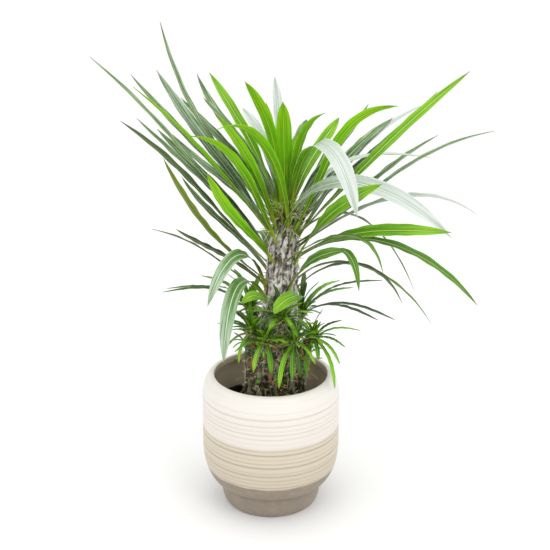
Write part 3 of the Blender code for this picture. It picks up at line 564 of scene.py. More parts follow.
def leaf_material(name, tone, upper):
    """One face of a strap leaf: blade, midrib, fine side veins, a pale margin, a stalk and a dry tip, with
    painted shade near the stalk and beside the midrib, and long bands of painted sheen and painted shade.
    """
    look = Look(name)
    size_map = look.uv("size")
    blade, size = look.axes(look.uv("blade")), look.axes(size_map)
    part = blade["Y"]
    across = look.calc("ABSOLUTE", size["X"])
    edge = look.calc("ABSOLUTE", look.scaled(blade["X"], 2.0, -1.0))
    # Side veins lean forward from the midrib, about 2 mm apart
    lean = look.calc("ADD", size["Y"], look.scaled(across, -0.55))
    waver = look.scaled(look.noise(160, 2), 0.02)
    veins = look.calc("SINE", look.scaled(look.calc("ADD", lean, waver), TURN / 0.021))
    fine = look.noise(260, 4, 0.6)
    band = look.noise(1.0, 3, 0.55, look.stretched((34, 1.6, 1), size_map))
    run = look.calc("ADD", part, look.around(look.noise(30, 4, 0.6), 0.5))
    # Darker near the stalk: painted shade where the leaves crowd over each other near the trunk
    look.colour = look.blend(look.step(run, 0.12, 0.55), tone.base, tone.blade)
    look.paint(look.step(run, 0.50, 0.95), tone.far)
    # Long bands: pale streaks of painted sheen and dark streaks of painted shade
    look.paint(look.step(band, 0.49, 0.60, tone.bands), tone.patch)
    look.paint(look.step(band, 0.48, 0.38, tone.bands), tone.base)
    look.paint(look.step(fine, 0.48, 0.72, 0.28), tone.patch)
    look.paint(look.step(veins, 0.2, 1.0, 0.16), tone.rib)
    look.paint(look.step(edge, 0.90, 1.0, 0.55), tone.rib)
    # Painted shade in the crease beside the midrib
    look.paint(look.step(across, 0.022, 0.009, 0.4), tone.base)
    half, strength = (0.0058, 0.9) if upper else (0.0062, 0.75)
    rib = look.calc("MULTIPLY", look.step(across, half, half * 0.45), look.step(part, 1.0, 0.80, strength))
    look.paint(rib, tone.rib)
    look.paint(look.step(part, 0.20, 0.03), look.blend(look.step(band, 0.4, 0.62), tone.stalk, tone.base))
    look.paint(look.step(look.calc("ADD", part, look.around(fine, 0.05)), 0.982, 1.0), tone.tip)
    look.bump(veins, 0.10, 0.25 * MM)
    look.bump(fine, 0.14, 0.4 * MM)
    return look.finish(look.scaled(fine, 0.16, tone.roughness - 0.08), 0.2 if upper else 0.12)


# Meshes

class Shape:
    """Points, faces, material slots, UV maps and marks of a mesh that grows piece by piece."""

    def __init__(self):
        self.points, self.faces, self.slots, self.uvs, self.marks = [], [], [], {}, {}

    def take(self, points, faces, slots=0, uvs=None, marks=None):
        """Adds points and faces. A layer that they lack is filled up with blanks."""
        start = len(self.points)
        self.points += [tuple(point) for point in points]
        self.faces += [tuple(start + i for i in face) for face in faces]
        self.slots += [slots] * len(faces) if isinstance(slots, int) else slots
        for layers, given, blank in ((self.uvs, uvs, (0.0, 0.0)), (self.marks, marks, 0.0)):
            for name, values in (given or {}).items():
                held = layers.setdefault(name, [])
                held += [blank] * (start - len(held))
                held += values
            for held in layers.values():
                held += [blank] * (len(self.points) - len(held))


def piece(name, shape, materials, replaced, sharp_degrees=40):
    """Makes one mesh piece of a Shape and lets it ride on the root body."""
    mesh = bpy.data.meshes.new(name)
    mesh.from_pydata(shape.points, [], shape.faces)
    for material in materials:
        mesh.materials.append(material)
    mesh.polygons.foreach_set("material_index", shape.slots)
    loops = np.zeros(len(mesh.loops), int)
    mesh.loops.foreach_get("vertex_index", loops)
    for layer, values in shape.uvs.items():
        mesh.uv_layers.new(name=layer).data.foreach_set("uv", np.array(values, float)[loops].ravel())
    for layer, values in shape.marks.items():
        mesh.attributes.new(layer, "FLOAT", "POINT").data.foreach_set("value", np.array(values, float))
    mesh.validate()
    mesh.shade_smooth()
    mesh.set_sharp_from_angle(angle=math.radians(sharp_degrees))
    obj = bpy.data.objects.new(name, mesh)
    bpy.context.scene.collection.objects.link(obj)
    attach(obj, "root")
    if replaced:
        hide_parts(*replaced)


def spoke(turn, radius, height=0.0):
    """A point by its turn round the upright, its radius and its height."""
    return Vector((radius * math.cos(turn), radius * math.sin(turn), height))


def heading(turn, slope):
    """A direction by its turn round the upright and its slope, in radians."""
    return spoke(turn, math.cos(slope), math.sin(slope))


def grid_faces(rows, sides, offset=0, closed=False):
    """Quads between rows of equal rings, with a face over each end where closed."""
    faces = []
    for row in range(rows - 1):
        a = offset + row * sides
        for side in range(sides):
            after = (side + 1) % sides
            faces.append((a + side, a + after, a + sides + after, a + sides + side))
    if closed:
        faces += [tuple(reversed(range(sides))), tuple(range((rows - 1) * sides, rows * sides))]
    return faces


def fan_faces(rows, sides):
    """Triangles from the first ring and the last ring to the two points that follow the rings."""
    low, top = rows * sides, (rows - 1) * sides
    faces = []
    for side in range(sides):
        after = (side + 1) % sides
        faces += [(low, after, side), (low + 1, top + side, top + after)]
    return faces


def lathe_shape(profile, sides, centre, marks):
    """A closed turned body, its profile from the axis under it, out and round, to the axis above."""
    turns = [TURN * side / sides for side in range(sides)]
    points = [centre + spoke(turn, radius, height) for radius, height in profile[1:-1] for turn in turns]
    points += [centre + Vector((0, 0, end[1])) for end in (profile[0], profile[-1])]
    rows = len(profile) - 2
    spread = {
        layer: [value for value in values[1:-1] for _ in turns] + [values[0], values[-1]]
        for layer, values in marks.items()
    }
    shape = Shape()
    shape.take(points, grid_faces(rows, sides) + fan_faces(rows, sides), marks=spread)
    return shape


# Pots and soil

def wall_radius(height):
    """Outer radius of the ceramic pot over its foot, without the throwing rings."""
    if height < BELLY_START:
        part = (BELLY_START - height) / (BELLY_START - FOOT_HEIGHT)
        return FOOT_NECK_RADIUS + (BODY_RADIUS - FOOT_NECK_RADIUS) * max(0, 1 - part**2.1) ** 0.5
    if height > SHOULDER_START:
        part = (height - SHOULDER_START) / (POT_HEIGHT - SHOULDER_START)
        return RIM_CREST_RADIUS + (BODY_RADIUS - RIM_CREST_RADIUS) * max(0, 1 - part**2) ** 0.5
    return BODY_RADIUS


def groove_at(height):
    """Depth of the throwing rings at a height, and how dark they are painted there from 0 to 1: pooled glaze
    and painted shade in the groove.
    """
    depth, dark = 0, 0
    for ring, deep, half in RINGS:
        near = math.exp(-(((height / MM - ring) / (0.55 * half)) ** 2))
        depth = max(depth, deep * MM * near)
        dark = max(dark, min(1, deep) * near**0.7)
    return depth, dark


def make_pot():
    """The ceramic pot as one profile: up the outside, over the lip and down the inside."""
    profile = [(0, 0), (FOOT_FLAT_RADIUS - 1 * MM, 0)]
    for step in range(FOOT_STEPS + 1):
        turn = 0.5 * math.pi * step / FOOT_STEPS
        spread = FOOT_FLAT_RADIUS + (FOOT_TOP_RADIUS - FOOT_FLAT_RADIUS) * math.sin(turn)
        profile.append((spread, FOOT_ROUNDING * (1 - math.cos(turn))))
    profile += [(radius * MM, height * MM) for radius, height in FOOT_EDGE]
    # The groove mark, pooled glaze and painted shade, also darkens the top of the foot where it meets the
    # belly
    grooves = [0.0] * (len(profile) - 2) + [0.7, 1.0]
    height = FOOT_HEIGHT + 0.15 * MM
    while height < POT_HEIGHT - 0.05 * MM:
        depth, dark = groove_at(height)
        profile.append((wall_radius(height) - depth, height))
        grooves.append(dark)
        near_end = height < FOOT_HEIGHT + 3 * MM or height > POT_HEIGHT - 3 * MM
        height += POT_FINE_STEP if near_end else POT_STEP
    outside = len(profile) + LIP_STEPS - 2
    profile.append((RIM_CREST_RADIUS - 0.4 * MM, POT_HEIGHT))
    for step in range(LIP_STEPS + 1):
        turn = math.radians(90 + 90 * step / LIP_STEPS)
        profile.append((OPENING_RADIUS + LIP + LIP * math.cos(turn), POT_HEIGHT - LIP + LIP * math.sin(turn)))
    profile += [(OPENING_RADIUS + 0.15 * MM, POT_HEIGHT - 4 * MM), (THROAT_RADIUS, THROAT_HEIGHT)]
    inner, top = BODY_RADIUS - POT_WALL, SHOULDER_START + 2 * MM
    for step in range(1, SHOULDER_STEPS):
        turn = 0.5 * math.pi * step / SHOULDER_STEPS
        reach = (inner - THROAT_RADIUS) * math.sin(turn) ** 1.1
        profile.append((THROAT_RADIUS + reach, THROAT_HEIGHT - (THROAT_HEIGHT - top) * (1 - math.cos(turn))))
    profile += [(inner, float(height)) for height in np.linspace(top, BELLY_START - 8 * MM, 24)]
    profile += [(radius * MM, height * MM) for radius, height in INNER_FLOOR]
    grooves += [0.0] * (len(profile) - len(grooves))
    # Marks the inside, which the glaze paints paler as painted light
    inside = [0.0] * outside + [1.0] * (len(profile) - outside)
    shape = lathe_shape(profile, POT_SIDES, Vector(), {"groove": grooves, "inside": inside})
    piece("ceramic_pot", shape, [glaze_material()], ["pot"])


def nursery_radius(height):
    """Outer radius of the nursery pot at a height."""
    part = (height - NURSERY_BASE) / (NURSERY_RIM - NURSERY_BASE)
    return NURSERY_BASE_RADIUS + (NURSERY_TOP_RADIUS - NURSERY_BASE_RADIUS) * part


def soil_height(x, y):
    """Uneven top of the soil."""
    rough = noise.fractal(Vector((x * 90, y * 90, 3.1)), 0.7, 2.2, 5)
    return SOIL_TOP + SOIL_RELIEF * max(-1.0, min(1.0, rough * 1.1))


def make_soil():
    """Soil from the nursery pot's floor up its wall to the uneven top."""
    inset = NURSERY_WALL + GAP
    floor, side_top = NURSERY_BASE + inset, SOIL_TOP - 3 * MM
    turns = [TURN * side / SOIL_SIDES for side in range(SOIL_SIDES)]
    points = []
    for height in np.linspace(floor, side_top, 8):
        points += [NURSERY_CENTRE + spoke(turn, nursery_radius(height) - inset, height) for turn in turns]
    edge = nursery_radius(side_top) - inset
    for row in range(1, SOIL_ROWS):
        radius = edge * (1 - row / SOIL_ROWS) ** 0.9
        for turn in turns:
            spot = NURSERY_CENTRE + spoke(turn + 0.4 * row / SOIL_ROWS, radius)
            spot.z = side_top + (soil_height(spot.x, spot.y) - side_top) * min(1, row / 2.5)
            points.append(spot)
    rows = len(points) // SOIL_SIDES
    points += [NURSERY_CENTRE + Vector((0, 0, height)) for height in (floor, SOIL_TOP)]
    shape = Shape()
    shape.take(points, grid_faces(rows, SOIL_SIDES) + fan_faces(rows, SOIL_SIDES))
    piece("potting_soil", shape, [soil_material()], ["soil"], 60)


def rough_chip(draw, spot, size, flat):
    """A split bark bit: a box with its corners moved about, turned any way."""
    turn = Matrix.Rotation(draw.uniform(0, 6.283), 3, "Z") @ Matrix.Rotation(draw.uniform(-0.6, 0.6), 3, "X")
    turn = turn @ Matrix.Rotation(draw.uniform(-0.6, 0.6), 3, "Y")
    points = []
    for x, y, z in itertools.product((-1, 1), repeat=3):
        corner = Vector((x * size, y * size * 0.55, z * size * flat)) * 0.5
        corner += Vector([draw.uniform(-0.16, 0.16) * size for _ in range(3)])
        points.append(spot + turn @ corner)
    return points, [(0, 1, 3, 2), (4, 6, 7, 5), (0, 4, 5, 1), (2, 3, 7, 6), (0, 2, 6, 4), (1, 5, 7, 3)]


def thread(shape, points, radius, taper=0.35):
    """Adds a thin closed tube along a line of points, with its part along as its UV."""
    rings, parts = [], []
    count = len(points)
    for index, point in enumerate(points):
        ahead = points[min(index + 1, count - 1)] - points[max(index - 1, 0)]
        along = ahead.normalized() if ahead.length > 0 else Vector((0, 0, 1))
        side = along.orthogonal().normalized()
        part = index / (count - 1)
        size = radius * (1 - (1 - taper) * part)
        for k in range(THREAD_SIDES):
            rings.append(point + size * (Matrix.Rotation(TURN * k / THREAD_SIDES, 3, along) @ side))
            parts.append((k / THREAD_SIDES, part))
    shape.take(rings, grid_faces(count, THREAD_SIDES, closed=True), 0, {"blade": parts})


def clear_of_stems(spot):
    """Whether a spot on the soil is outside the trunk and the offsets."""
    if (spot.xy - TRUNK_FOOT.xy).length < 20 * MM:
        return False
    return all((spot.xy - Vector(offset.foot) * MM).length > 9.5 * MM for offset in OFFSETS)


def make_litter():
    """Bark bits and fine roots on the soil."""
    draw = random.Random(3)
    bits, roots = Shape(), Shape()
    edge = nursery_radius(SOIL_TOP) - 5 * MM
    made = 0
    while made < BARK_BITS:
        radius, turn = edge * draw.random() ** 0.5, draw.uniform(0, TURN)
        spot = NURSERY_CENTRE + spoke(turn, radius)
        if not clear_of_stems(spot):
            continue
        size = draw.choice(BARK_BIT_SIZES) * MM
        spot.z = soil_height(spot.x, spot.y) + size * draw.uniform(0.0, 0.3)
        points, faces = rough_chip(draw, spot, size, draw.uniform(0.25, 0.7))
        bits.take(points, faces, draw.choice((0, 0, 0, 1, 1, 2)))
        made += 1
    browns = [
        bit_material("bark_bits_dark", (44, 30, 21), (70, 50, 35)),
        bit_material("bark_bits_brown", (92, 66, 46), (128, 98, 70)),
        bit_material("bark_bits_red", (110, 70, 46), (74, 48, 32)),
    ]
    piece("soil_bark_bits", bits, browns, (), 20)
    for _ in range(ROOT_BITS):
        radius, turn = edge * draw.random() ** 0.6, draw.uniform(0, TURN)
        spot = NURSERY_CENTRE + spoke(turn, radius)
        way = draw.uniform(0, TURN)
        line = []
        for _ in range(draw.randint(7, 13)):
            if (spot - NURSERY_CENTRE).xy.length >= edge:
                break
            lift = 0.8 * MM + 1.6 * MM * draw.random()
            line.append(Vector((spot.x, spot.y, soil_height(spot.x, spot.y) + lift)))
            way += draw.uniform(-0.7, 0.7)
            spot = spot + spoke(way, 1) * 3.2 * MM
        if len(line) > 3:
            thread(roots, line, draw.uniform(0.3, 0.6) * MM)
    piece("soil_roots", roots, [bit_material("fine_roots", (168, 138, 100), (112, 84, 58), 60)], ())


# Trunk

def between(pairs, value):
    """The value that a table of (place, value) pairs gives at a place."""
    for (low, first), (high, second) in zip(pairs, pairs[1:]):
        if value <= high:
            return first + (second - first) * max(0, value - low) / (high - low)
    return pairs[-1][1]


def trunk_centre(height):
    """Middle of the leaning trunk at a height."""
    part = max(0, height - BARE_TOP) / (TRUNK_TOP.z - BARE_TOP)
    spot = TRUNK_FOOT.lerp(TRUNK_TOP, part)
    return Vector((spot.x, spot.y, height))


def trunk_radius(height):
    """Radius of the trunk under its cushions."""
    return between(TRUNK_RADII, height / MM) * MM


def levels(first, top, step):
    """Some first heights, then even steps from the top of the bare foot."""
    rows = int((top - BARE_TOP) / step)
    return np.array(first + [BARE_TOP + (top - BARE_TOP) * (row + 1) / rows for row in range(rows)])


def cushions():
    """Turn and height of each leaf cushion of the trunk."""
    count = int((TRUNK_TOP.z - 4 * MM - BARE_TOP - 4 * MM) / CUSHION_STEP)
    return [(index * GOLDEN_ANGLE, BARE_TOP + 4 * MM + index * CUSHION_STEP) for index in range(count)]


def nearest_cushion(turns, heights, radii, spots):
    """How far each point of a skin is from its nearest cushion, 1 at a cushion's reach, by rows."""
    best = np.full((len(heights), len(turns)), CUSHION_REACH)
    for spot_turn, spot_height in spots:
        rows = np.where(np.abs(heights - spot_height) < CUSHION_REACH * CUSHION_STRETCH)[0]
        if len(rows):
            across = np.abs((turns - spot_turn + math.pi) % TURN - math.pi)[None, :] * radii[rows][:, None]
            rise = (heights[rows] - spot_height)[:, None] / CUSHION_STRETCH
            best[rows] = np.minimum(best[rows], np.hypot(across, rise))
    return best / CUSHION_REACH


def stem_shape(centre_of, radius_of, heights, sides, spots, rise, top, seed):
    """A stem's skin: cushions in a spiral, roughened by upright ridges and cracks."""
    turns = TURN * np.arange(sides) / sides
    radii = np.array([radius_of(height) for height in heights])
    near = nearest_cushion(turns, heights, radii, spots)
    points, swell, scar = [], [], []

    def rough(spot, wide, tall, shift=0.0):
        x, y, z = spot
        return noise.noise(Vector((x * wide + shift, y * wide, z * tall + seed)))

    for row, height in enumerate(heights):
        centre = centre_of(height)
        growing = BARE_TOP < height < top
        scale = radii[row] / (20 * MM)
        for side, turn in enumerate(turns):
            spot = (math.cos(turn) * scale, math.sin(turn) * scale, height)
            drift = 0.055 * sides * rough(spot, *DRIFT) * 20 * MM / radii[row]
            n = near[row, int(round(side + drift)) % sides] if growing else 1.0
            ridge, fine, grain = rough(spot, *RIDGE), rough(spot, *FINE), rough(spot, *GRAIN)
            crack = max(0.0, 1 - abs(rough(spot, *CRACK, 9)) / 0.10)
            relief = 0.85 * ridge + 0.55 * fine + 0.25 * grain - 0.8 * crack
            radius = radii[row] + rise * (1 - n * n) + relief * 0.9 * MM * min(1.0, radii[row] / (14 * MM))
            points.append(centre + spoke(turn, radius))
            # The swell mark paints light by relief: raised cushions and ridges lighter as painted highlight,
            # cracks darker as painted shade
            tone = 0.02 + 0.85 * (1 - n * n) + 0.70 * ridge + 0.30 * fine - 0.5 * crack
            swell.append(min(1.0, max(0.0, tone)) if growing else 0.15)
            scar.append(max(0.0, 1 - n / 0.26) if growing else 0.0)
    return points, grid_faces(len(heights), sides, closed=True), {"swell": swell, "scar": scar}


def coarse_trunk():
    """The trunk's skin as on the solid, on which the leaves were seated."""
    heights = levels([TRUNK_FOOT.z, BARE_TOP], TRUNK_TOP.z, COARSE_ROW)
    turns = TURN * np.arange(COARSE_SIDES) / COARSE_SIDES
    radii = np.array([trunk_radius(height) for height in heights])
    near = nearest_cushion(turns, heights, radii, cushions())
    points = []
    for row, height in enumerate(heights):
        growing = BARE_TOP < height < TRUNK_TOP.z
        for side, turn in enumerate(turns):
            radius = float(radii[row] + (CUSHION_RISE * (1 - near[row, side] ** 2) if growing else 0))
            points.append(trunk_centre(height) + radius * spoke(turn, 1))
    return BVHTree.FromPolygons(points, grid_faces(len(heights), COARSE_SIDES, closed=True))


def any_way(draw, amount):
    """A random vector, up to an amount on each axis."""
    return Vector([draw.uniform(-amount, amount) for _ in range(3)])


def curved_spine(shape, root, aim, length, radius, bend, sides=5, slot=0):
    """Adds a spine that narrows to a point and curls."""
    side = aim.orthogonal().normalized()
    last = SPINE_STEPS - 1
    points, parts = [], []
    for step in range(SPINE_STEPS):
        part = step / last
        point = root - aim * SPINE_ROOT + aim * (length + SPINE_ROOT) * part + bend * length * part * part
        if step == last:
            points.append(point)
            parts.append((0.5, 1.0))
            break
        size = radius * (1 - part) ** 0.8
        for k in range(sides):
            points.append(point + size * (Matrix.Rotation(TURN * k / sides, 3, aim) @ side))
            parts.append((k / sides, part))
    faces = grid_faces(last, sides)
    faces.append(tuple(reversed(range(sides))))
    ring = (last - 1) * sides
    faces += [(ring + k, ring + (k + 1) % sides, len(points) - 1) for k in range(sides)]
    shape.take(points, faces, slot, {"blade": parts})


def make_trunk():
    """The trunk's bark, and the spines of its stem, its crown and its growing tip."""
    heights = levels([TRUNK_FOOT.z, 90 * MM, 105 * MM, BARE_TOP], TRUNK_TOP.z, TRUNK_STEP)
    points, faces, marks = stem_shape(
        trunk_centre, trunk_radius, heights, TRUNK_SIDES, cushions(), CUSHION_RISE, TRUNK_TOP.z, 0.0
    )
    shape = Shape()
    shape.take(points, faces, 0, marks=marks)
    # The near-white crest is silver bark with painted highlights
    bark = bark_material("bark_fine", (236, 234, 232), (166, 158, 152), (52, 42, 32), (84, 96, 50), 0.3)
    piece("trunk_bark", shape, [bark], ["trunk"], 80)
    draw = random.Random(21)
    crown, old = Shape(), Shape()
    for turn, height in cushions():
        crowded = height > CROWN_FROM
        kind = CROWN_SPINES if crowded else STEM_SPINES
        for number, angle in enumerate(kind.angles):
            side = turn + math.radians(angle + draw.uniform(-SPREAD, SPREAD))
            slope = math.radians(draw.uniform(*kind.slope))
            length = draw.uniform(*kind.length) * MM
            out = trunk_radius(height) + 1.2 * MM
            root = trunk_centre(height) + heading(turn + math.radians(angle * 0.16), 0) * out
            root.z += draw.uniform(-2.5, 2.5) * MM
            bend = any_way(draw, kind.curl)
            radius = draw.uniform(*kind.radius) * MM
            # Every third crowded spine takes the dark brown look, which holds painted shade
            slot = 1 if crowded and number % 3 == 1 else 0
            curved_spine(crown if crowded else old, root, heading(side, slope), length, radius, bend, 5, slot)
    # The spines go on over the growing tip
    for index in range(TIP_SPINES):
        turn = index * GOLDEN_ANGLE
        level = 15 * (index / TIP_SPINES) ** 0.8
        radius = between(TIP_CORE, level) * MM - 0.6 * MM
        root = TIP_FOOT + heading(turn, 0) * radius + Vector((0, 0, level * MM))
        aim = heading(turn + draw.uniform(-0.6, 0.6), math.radians(draw.uniform(0, 70)))
        bend = any_way(draw, 0.9)
        length, radius = draw.uniform(9, 16) * MM, draw.uniform(0.6, 0.85) * MM
        # Every third spine of the tip is dark brown as well, with painted shade
        curved_spine(crown, root, aim, length, radius, bend, 5, 1 if index % 3 == 1 else 0)
    # The tan spines' near-white tips are partly their own cream, brightened further as painted light against
    # the shade of the leaves
    fresh = spine_material("spines_tan", (150, 108, 50), (255, 250, 206), (226, 196, 120), 0.5)
    # Dark brown spines: partly young spines' own brown, deepened as painted shade between the spines
    brown = spine_material("spines_brown", (92, 62, 30), (160, 116, 62), (54, 36, 18))
    aged = spine_material("spines_grey", (230, 210, 166), (158, 124, 84), (120, 92, 60))
    piece("trunk_spines_crown", crown, [fresh, brown], ())
    piece("trunk_spines_stem", old, [aged], ())


# Leaves

def blade_width(part, width, foot=PETIOLE_WIDTH, blunt=3):
    """Width at a part of a blade's length: a narrow foot, widest past the middle, a fine or blunt tip."""
    if part < WIDEST_AT:
        return foot + (width - foot) * math.sin(0.5 * math.pi * part / WIDEST_AT) ** 1.02
    late = (part - WIDEST_AT) / (1 - WIDEST_AT)
    return TIP_WIDTH + (width - TIP_WIDTH) * (1 - late**blunt)


def curve_point(ends, part):
    """Point and direction of a cubic curve at a part of its length."""
    a, b, c, d = ends
    rest = 1 - part
    point = rest**3 * a + 3 * rest**2 * part * b + 3 * rest * part**2 * c + part**3 * d
    along = 3 * rest**2 * (b - a) + 6 * rest * part * (c - b) + 3 * part**2 * (d - c)
    return point, along.normalized()


def leaf_guides(base, turn, leaf_tip, rise, fall, reach):
    """Four guides of a leaf's midline, which starts at the rise and ends at the fall, in degrees."""
    flat = leaf_tip - base
    span = flat.length
    start = base + heading(turn, math.radians(rise)) * span * reach
    out = math.atan2(flat.y, flat.x)
    return base, start, leaf_tip - heading(out, math.radians(fall)) * span * reach, leaf_tip


def section_frame(guides, roll, part):
    """Middle, direction, side and upward face of a leaf at a part of its length."""
    flat = guides[3] - guides[0]
    level = Vector((-flat.y, flat.x, 0)).normalized()
    centre, along = curve_point(guides, part)
    side = (level - along * level.dot(along)).normalized()
    side = Matrix.Rotation(math.radians(roll) * min(1, 2 * part), 3, along) @ side
    return centre, along, side, along.cross(side)


def solid_ring(guides, width, roll, part):
    """The six points of the solid's section, by which its node is recognised."""
    centre, along, side, face = section_frame(guides, roll, part)
    wide = blade_width(part, width)
    middle = max(MIDRIB_THICKNESS, PETIOLE_THICKNESS - part * 8 * MM)
    lift = CHANNEL * (wide - PETIOLE_WIDTH) if wide > PETIOLE_WIDTH else 0
    left, right = side * wide / 2 + face * lift, -side * wide / 2 + face * lift
    edge, core = face * min(BLADE_THICKNESS, middle) / 2, face * middle / 2
    return [centre + p for p in (left + edge, core, right + edge, right - edge, -core, left - edge)]


def leaf_shape(shape, guides, width, roll, rows, slots, seed, stalk=1.25, blunt=3):
    """Adds a fine strap leaf: a raised rib below, a shallow channel above, thin wavy margins, a hair tip."""
    draw = random.Random(seed)
    waves = [(draw.uniform(5, 9), draw.uniform(0, 6.28), draw.uniform(0.25, 0.6) * MM) for _ in range(2)]
    points, blade_uv, size_uv = [], [], []
    run, before = 0.0, None
    # The smallest leaves do with every second point of the section
    across = ACROSS if rows > 20 else ACROSS[::2]
    for row in range(rows):
        part = row / (rows - 1)
        part = part + 0.12 * part * (1 - part) * (2 * part - 1)
        centre, along, side, face = section_frame(guides, roll, part)
        run += (centre - before).length if before is not None else 0.0
        before = centre
        wide = blade_width(part, width, PETIOLE_WIDTH * stalk, blunt)
        if part > HAIR_FROM:
            wide *= 1 - 0.6 * (part - HAIR_FROM) / (1 - HAIR_FROM)
        channel = CHANNEL * max(0.0, wide - PETIOLE_WIDTH * 1.25)
        middle = max(FINE_RIB, PETIOLE_THICKNESS - part * 9 * MM)
        if part > 0.9:
            middle *= 1 - 0.55 * (part - 0.9) / 0.1
        thin = min(FINE_BLADE, middle * 0.5)
        round_stalk = max(0.0, 1 - part / 0.12)
        fading = min(1, 3 * part) * min(1, 4 * (1 - part)) * min(1.0, wide / (10 * MM))
        upper, lower, uv_up, metric = [], [], [], []
        for u in across:
            x = u * wide / 2
            count, phase, size = waves[0] if u > 0 else waves[1]
            ripple = size * u * u * math.sin(part * TURN * count + phase) * fading
            lift = channel * abs(u) ** 1.5 + ripple
            rib = math.exp(-((x / RIB_SPREAD) ** 2))
            body = thin + (middle - thin) * max(rib, round_stalk * (1 - u * u) ** 0.5)
            crease = CREASE_DEPTH * math.exp(-((x / CREASE_SPREAD) ** 2)) * min(1, 6 * part)
            top, low = lift + 0.30 * body - crease, lift - 0.70 * body
            if abs(u) == 1:
                top, low = lift + MARGIN / 2, lift - MARGIN / 2
            upper.append(centre + side * x + face * top)
            lower.append(centre + side * x + face * low)
            uv_up.append((0.5 + 0.5 * u, part))
            metric.append((x * 10, run * 10))
        points += upper + lower[::-1]
        blade_uv += uv_up + uv_up[::-1]
        size_uv += metric + metric[::-1]
    ring = 2 * len(across)
    above, below = slots
    one_row = [above if k < len(across) - 1 or k == ring - 1 else below for k in range(ring)]
    faces = grid_faces(rows, ring, closed=True)
    shape.take(points, faces, one_row * (rows - 1) + [below, above], {"blade": blade_uv, "size": size_uv})


def leaf_tip_and_turn(leaf):
    """A leaf's tip, and the turn at which it leaves its stem."""
    tip = Vector(leaf.tip) * MM
    out = tip - trunk_centre(leaf.height * MM)
    return tip, math.atan2(out.y, out.x) + math.radians(leaf.swing)


def corners_of(node):
    """The solid's corners, to look up the nearest one."""
    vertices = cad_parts[node].data.vertices
    tree = KDTree(len(vertices))
    for vertex in vertices:
        tree.insert(vertex.co, vertex.index)
    tree.balance()
    return tree


def kept_guides(name, leaf, stem, spots):
    """The midline that the solid of this leaf has, out of those that it may take."""
    tip, aim = leaf_tip_and_turn(leaf)
    corners = corners_of(name)

    def away(spot):
        return math.hypot(math.remainder(spot[0] - aim, TURN) * 16 * MM, spot[1] - leaf.height * MM)

    best = (1e9, None, None)
    for spot in sorted(spots, key=away)[:CUSHION_CHOICES]:
        turn, height = spot
        out = heading(turn, 0)
        hit = stem.ray_cast(trunk_centre(height) + out * OUTSIDE, -out)[0]
        start_turn = turn + math.remainder(aim - turn, TURN) / 2
        for lift, shift in itertools.product(LEAF_LIFTS, LEAF_SHIFTS):
            end = tip + Vector((0, shift * MM, 0))
            guides = leaf_guides(hit, start_turn, end, leaf.rise + lift, leaf.fall, leaf.reach)
            ring = solid_ring(guides, leaf.width * MM, leaf.roll, RING_AT)
            off = max(corners.find(point)[2] for point in ring)
            if off < best[0]:
                best = (off, guides, spot)
        if best[0] < 0.1 * MM:
            break
    spots.remove(best[2])
    return best[1], best[0]


def make_trunk_leaves(looks):
    """The strap leaves of the trunk, each on the midline of its solid."""
    stem = coarse_trunk()
    spots = cushions()
    worst = 0
    for number, leaf in enumerate(TRUNK_LEAVES, 1):
        name = f"leaf_{number:02d}"
        guides, off = kept_guides(name, leaf, stem, spots)
        worst = max(worst, off)
        # The stalk goes on into its cushion
        inward = (guides[0] - guides[1]).normalized() * STALK_IN_CUSHION
        guides = (guides[0] + inward, *guides[1:])
        shape = Shape()
        leaf_shape(shape, guides, leaf.width * MM, leaf.roll, LEAF_ROWS, (0, 1), number)
        both = [looks["upper", leaf.upper], looks["under", leaf.under]]
        piece(f"strap_{name}", shape, both, [name], 60)
    print("leaves match their solids within", round(worst / MM, 3), "mm")


